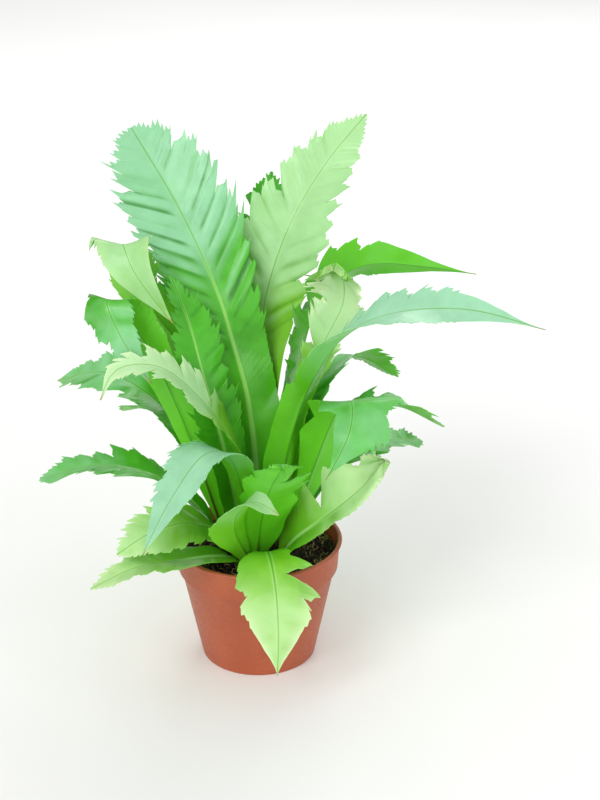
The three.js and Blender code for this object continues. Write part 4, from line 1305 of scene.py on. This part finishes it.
# %% Crumbs and chips
CRUMBS, CRUMB_SIZES, CRUMB_FLAT = 2600, (0.4, 1.3), 0.8
CHIPS, CHIP_SIZES, CHIP_FLAT = 190, (1.0, 2.6), 0.25
random = np.random.default_rng(5)


def turns(count):
    """Evenly spread random turns, from unit quaternions, as 3 x 3 matrices."""
    w, x, y, z = unit(random.normal(size=(count, 4))).T
    rows = [1 - 2 * (y * y + z * z), 2 * (x * y - z * w), 2 * (x * z + y * w),
            2 * (x * y + z * w), 1 - 2 * (x * x + z * z), 2 * (y * z - x * w),
            2 * (x * z - y * w), 2 * (y * z + x * w), 1 - 2 * (x * x + y * y)]
    return np.stack(rows, -1).reshape(-1, 3, 3)


def scattered(count, sizes, flat, inner=5.5):
    """Rough lumps strewn on the soil: each is the same body with its corners pushed in and out at
    random, stretched, turned and set on the bed, a third of it sunk in."""
    corners, faces = lump()
    radius = np.sqrt(random.uniform(inner ** 2, (SOIL_RADIUS - 1) ** 2, count))
    angle = random.uniform(0, 2 * math.pi, count)
    x, y = radius * np.cos(angle), radius * np.sin(angle)
    size = random.uniform(*sizes, count)
    shape = corners[None] * random.uniform(0.7, 1.25, (count, len(corners), 1))
    shape = shape * random.uniform((1, 0.6, flat), (1.5, 1, flat * 1.5), (count, 3))[:, None]
    shape = np.einsum("nij,nkj->nki", turns(count), shape) * size[:, None, None]
    rest = np.stack([x, y, soil_height(x, y) + 0.3 * size], -1)
    jump = (np.arange(count) * len(corners))[:, None, None]
    return (shape + rest[:, None]).reshape(-1, 3), (faces[None] + jump).reshape(-1, 3)


def make_litter(name, count, sizes, flat):
    """One kind of lump, strewn over the bed as one piece."""
    points, faces = scattered(count, sizes, flat)
    return mesh_piece(name, points, [faces], earthy_material(name))


crumbs = make_litter("soil_crumbs", CRUMBS, CRUMB_SIZES, CRUMB_FLAT)
chips = make_litter("bark_chips", CHIPS, CHIP_SIZES, CHIP_FLAT)
print("crumbs:", triangles(crumbs), "triangles, chips:", triangles(chips))

# %% [markdown]
# ## Roots
# Where the soil meets the wall, thin pale roots run and loop. Each one is a wandering line, widened to
# a tube by carrying a small ring of points along it.

# %% Roots
ROOTS = 150
ROOT_POINTS = 16
ROOT_SIDES = 5


def tubes(lines, radii, sides):
    """Closed tubes round many lines at once. Each point of a line carries a ring of points, set square
    to the line by its direction and an upright vector, and the ends are drawn to a point."""
    along = unit(np.gradient(lines, axis=1))
    first = unit(np.cross(along, np.array([0.13, 0.07, 1.0])))
    second = np.cross(along, first)
    a = np.arange(sides) * 2 * math.pi / sides
    ring = np.cos(a)[:, None] * first[:, :, None] + np.sin(a)[:, None] * second[:, :, None]
    points = lines[:, :, None] + ring * radii[:, :, None, None]
    count, steps = lines.shape[:2]
    one = grid_faces(steps, sides, closed=True)
    end = np.array([list(range(sides))[::-1], list(range((steps - 1) * sides, steps * sides))])
    jump = (np.arange(count) * steps * sides)[:, None, None]
    return points.reshape(-1, 3), [(one + jump).reshape(-1, 4), (end + jump).reshape(-1, sides)]


def make_roots():
    """Each root wanders round the pot: its radius and angle are sines of t, and it lifts off the bed by
    the sine of pi t, so that both ends dip into the soil."""
    t = np.linspace(0, 1, ROOT_POINTS)[None]
    angle = random.uniform(0, 2 * math.pi, (ROOTS, 1))
    start = SOIL_RADIUS - 2.5 - 24 * random.uniform(0, 1, (ROOTS, 1)) ** 1.6
    swing = random.uniform(-0.5, 0.5, (ROOTS, 1))
    radius = np.minimum(start + 6 * np.sin(3 * t + 5 * angle) * t, SOIL_RADIUS - 0.8)
    turn = angle + swing * t + 0.05 * np.sin(9 * t + 3 * angle)
    x, y = radius * np.cos(turn), radius * np.sin(turn)
    lift = random.uniform(0.5, 3.6, (ROOTS, 1)) * np.sin(math.pi * t)
    lift = lift + 0.4 * np.sin(11 * t + angle) - 0.3
    lines = np.stack([x, y, soil_height(x, y) + lift], -1)
    radii = random.uniform(0.16, 0.42, (ROOTS, 1)) * (1 - 0.6 * t ** 2)
    points, faces = tubes(lines, radii, ROOT_SIDES)
    return mesh_piece("roots", points, faces, earthy_material("roots"))


print("roots:", triangles(make_roots()), "triangles")

# %% [markdown]
# ## Crown
# In the middle of the rosette sits the bud, wrapped in dry brown scales. The same scales clothe the
# feet of the stalks. Each scale is a narrow pointed shell: a small grid bent across and curved outwards
# at its tip.

# %% Scales
SCALE_ROWS, SCALE_COLUMNS = 6, 5


def scale_shells(feet, outward, upward, spans):
    """Many scales at once. Along t a scale rises by its length and leaves its stem by flare t^2; its
    width closes as (1 - t)^0.8, and across u it is cupped. Both faces lie 0.12 mm apart. spans are the
    least and the greatest length, half width and flare."""
    t = np.linspace(0, 1, SCALE_ROWS)[None, :, None, None]
    u = np.linspace(-1, 1, SCALE_COLUMNS)[None, None, :, None]
    n, size, wide = (v[:, None, None] for v in (outward, upward, np.cross(upward, outward)))
    length, width, flare = (random.uniform(*span, (len(feet), 1, 1, 1)) for span in spans)
    half = width * (1 - 0.96 * t) ** 0.8 * (0.7 + 1.2 * t * (1 - t))
    middle = feet[:, None, None] + size * length * t + n * (flare * t ** 2 - 0.25 * width * u ** 2)
    middle = middle + wide * half * u
    skins = np.stack([middle + 0.06 * n, middle - 0.06 * n], 1)
    each = 2 * SCALE_ROWS * SCALE_COLUMNS
    jump = (np.arange(len(feet)) * each)[:, None, None]
    faces = [(group + jump).reshape(-1, 4) for group in skin_faces(SCALE_ROWS, SCALE_COLUMNS)]
    return skins.reshape(-1, 3), faces


print("quads of one scale:", sum(len(g) for g in skin_faces(SCALE_ROWS, SCALE_COLUMNS)))

# %% Bud
CROWN_RADIUS, CROWN_TOP, CROWN_SHOULDER, CROWN_FOOT = 4.6, 92, 82, 72
BUD_SIDES = 24


def make_bud(skin):
    """The bud's core: a straight foot and an elliptical dome, carried round."""
    dome = arc((0, CROWN_SHOULDER), (CROWN_RADIUS - 0.6, CROWN_TOP - CROWN_SHOULDER - 1), 0, 88, 12)
    profile = np.vstack([[[CROWN_RADIUS - 0.6, CROWN_FOOT]], dome])
    ends = [[0, 0, CROWN_FOOT], [0, 0, CROWN_TOP - 1]]
    points = np.vstack([carried_round(profile, BUD_SIDES), ends])
    faces = closed_faces(len(profile), BUD_SIDES)
    return mesh_piece("crown_bud", points, faces, skin, ["crown"])


scale_skin = earthy_material("crown_scales")
print("bud:", triangles(make_bud(scale_skin)), "triangles")

# %% Scales on the bud
CROWN_SCALES = 90
SCALE_TURN = math.radians(137.5)
BUD_SPANS = ((3.5, 6), (0.7, 1.3), (0.3, 1.6))


def make_bud_scales(skin):
    """Scales in a spiral up the bud, each turned on by 137.5 degrees from the one before."""
    k = np.arange(CROWN_SCALES)
    share = k / CROWN_SCALES
    angle = k * SCALE_TURN
    out = np.stack([np.cos(angle), np.sin(angle), 0 * angle], -1)
    radius = (CROWN_RADIUS - 0.4) * np.cos(share * math.radians(70))
    height = CROWN_FOOT + 6 + (CROWN_TOP - CROWN_FOOT - 9) * share ** 0.9
    feet = out * radius[:, None] + np.stack([0 * k, 0 * k, height], -1)
    up = unit(np.array([0, 0, 1.0]) - out * (0.6 * share)[:, None])
    points, faces = scale_shells(feet, out, up, BUD_SPANS)
    return mesh_piece("crown_scales_loose", points, faces, skin)


print("bud scales:", triangles(make_bud_scales(scale_skin)), "triangles")

# %% Scales on the stalks
STALK_SCALES = 9
SCALES_FROM_TO = (9, 24)
SCALES_OUT = 1.9
STALK_SPANS = ((2.5, 5), (0.35, 0.8), (0.4, 1.8))


def make_stalk_scales(skin):
    """Scales round the lowest part of each stalk, pointing up it."""
    feet, outward, upward = [], [], []
    for spine in spines:
        point, side, up = spine.frame(random.uniform(*SCALES_FROM_TO, STALK_SCALES))
        angle = random.uniform(0, 2 * math.pi, STALK_SCALES)[:, None]
        out = side * np.cos(angle) + up * np.sin(angle)
        feet.append(point + out * SCALES_OUT)
        outward.append(out)
        upward.append(np.cross(side, up))
    feet, outward, upward = (np.concatenate(v) for v in (feet, outward, upward))
    points, faces = scale_shells(feet, outward, upward, STALK_SPANS)
    return mesh_piece("stalk_scales", points, faces, skin)


print("stalk scales:", triangles(make_stalk_scales(scale_skin)), "triangles")

# %% [markdown]
# ## Floor
# A pale, slightly warm floor catches the plant's soft shadow and shows where it stands. It isn't part
# of the object.

# %% Floor
FLOOR_HALF = 6.0
FLOOR_GREY, FLOOR_LIGHT = (240, 240, 238), (246, 246, 245)


def make_floor():
    """One large quad at height 0."""
    material, tree, shader = new_material("studio_floor")
    wide = place(tree, blotches, Scale=1.5, Sharpness=0.4)["Share"]
    colour = mix(tree, wide, linear(*FLOOR_GREY), linear(*FLOOR_LIGHT))
    tree.links.new(colour, shader.inputs["Base Color"])
    shader.inputs["Roughness"].default_value = 0.9
    mesh = bpy.data.meshes.new("floor")
    corners = FLOOR_HALF * np.array([[-1, -1, 0], [1, -1, 0], [1, 1, 0], [-1, 1, 0]], float)
    mesh.from_pydata(corners, [], [(0, 1, 2, 3)])
    mesh.materials.append(material)
    floor = new_object("floor", mesh)


make_floor()
print("floor:", 2 * FLOOR_HALF, "m wide")
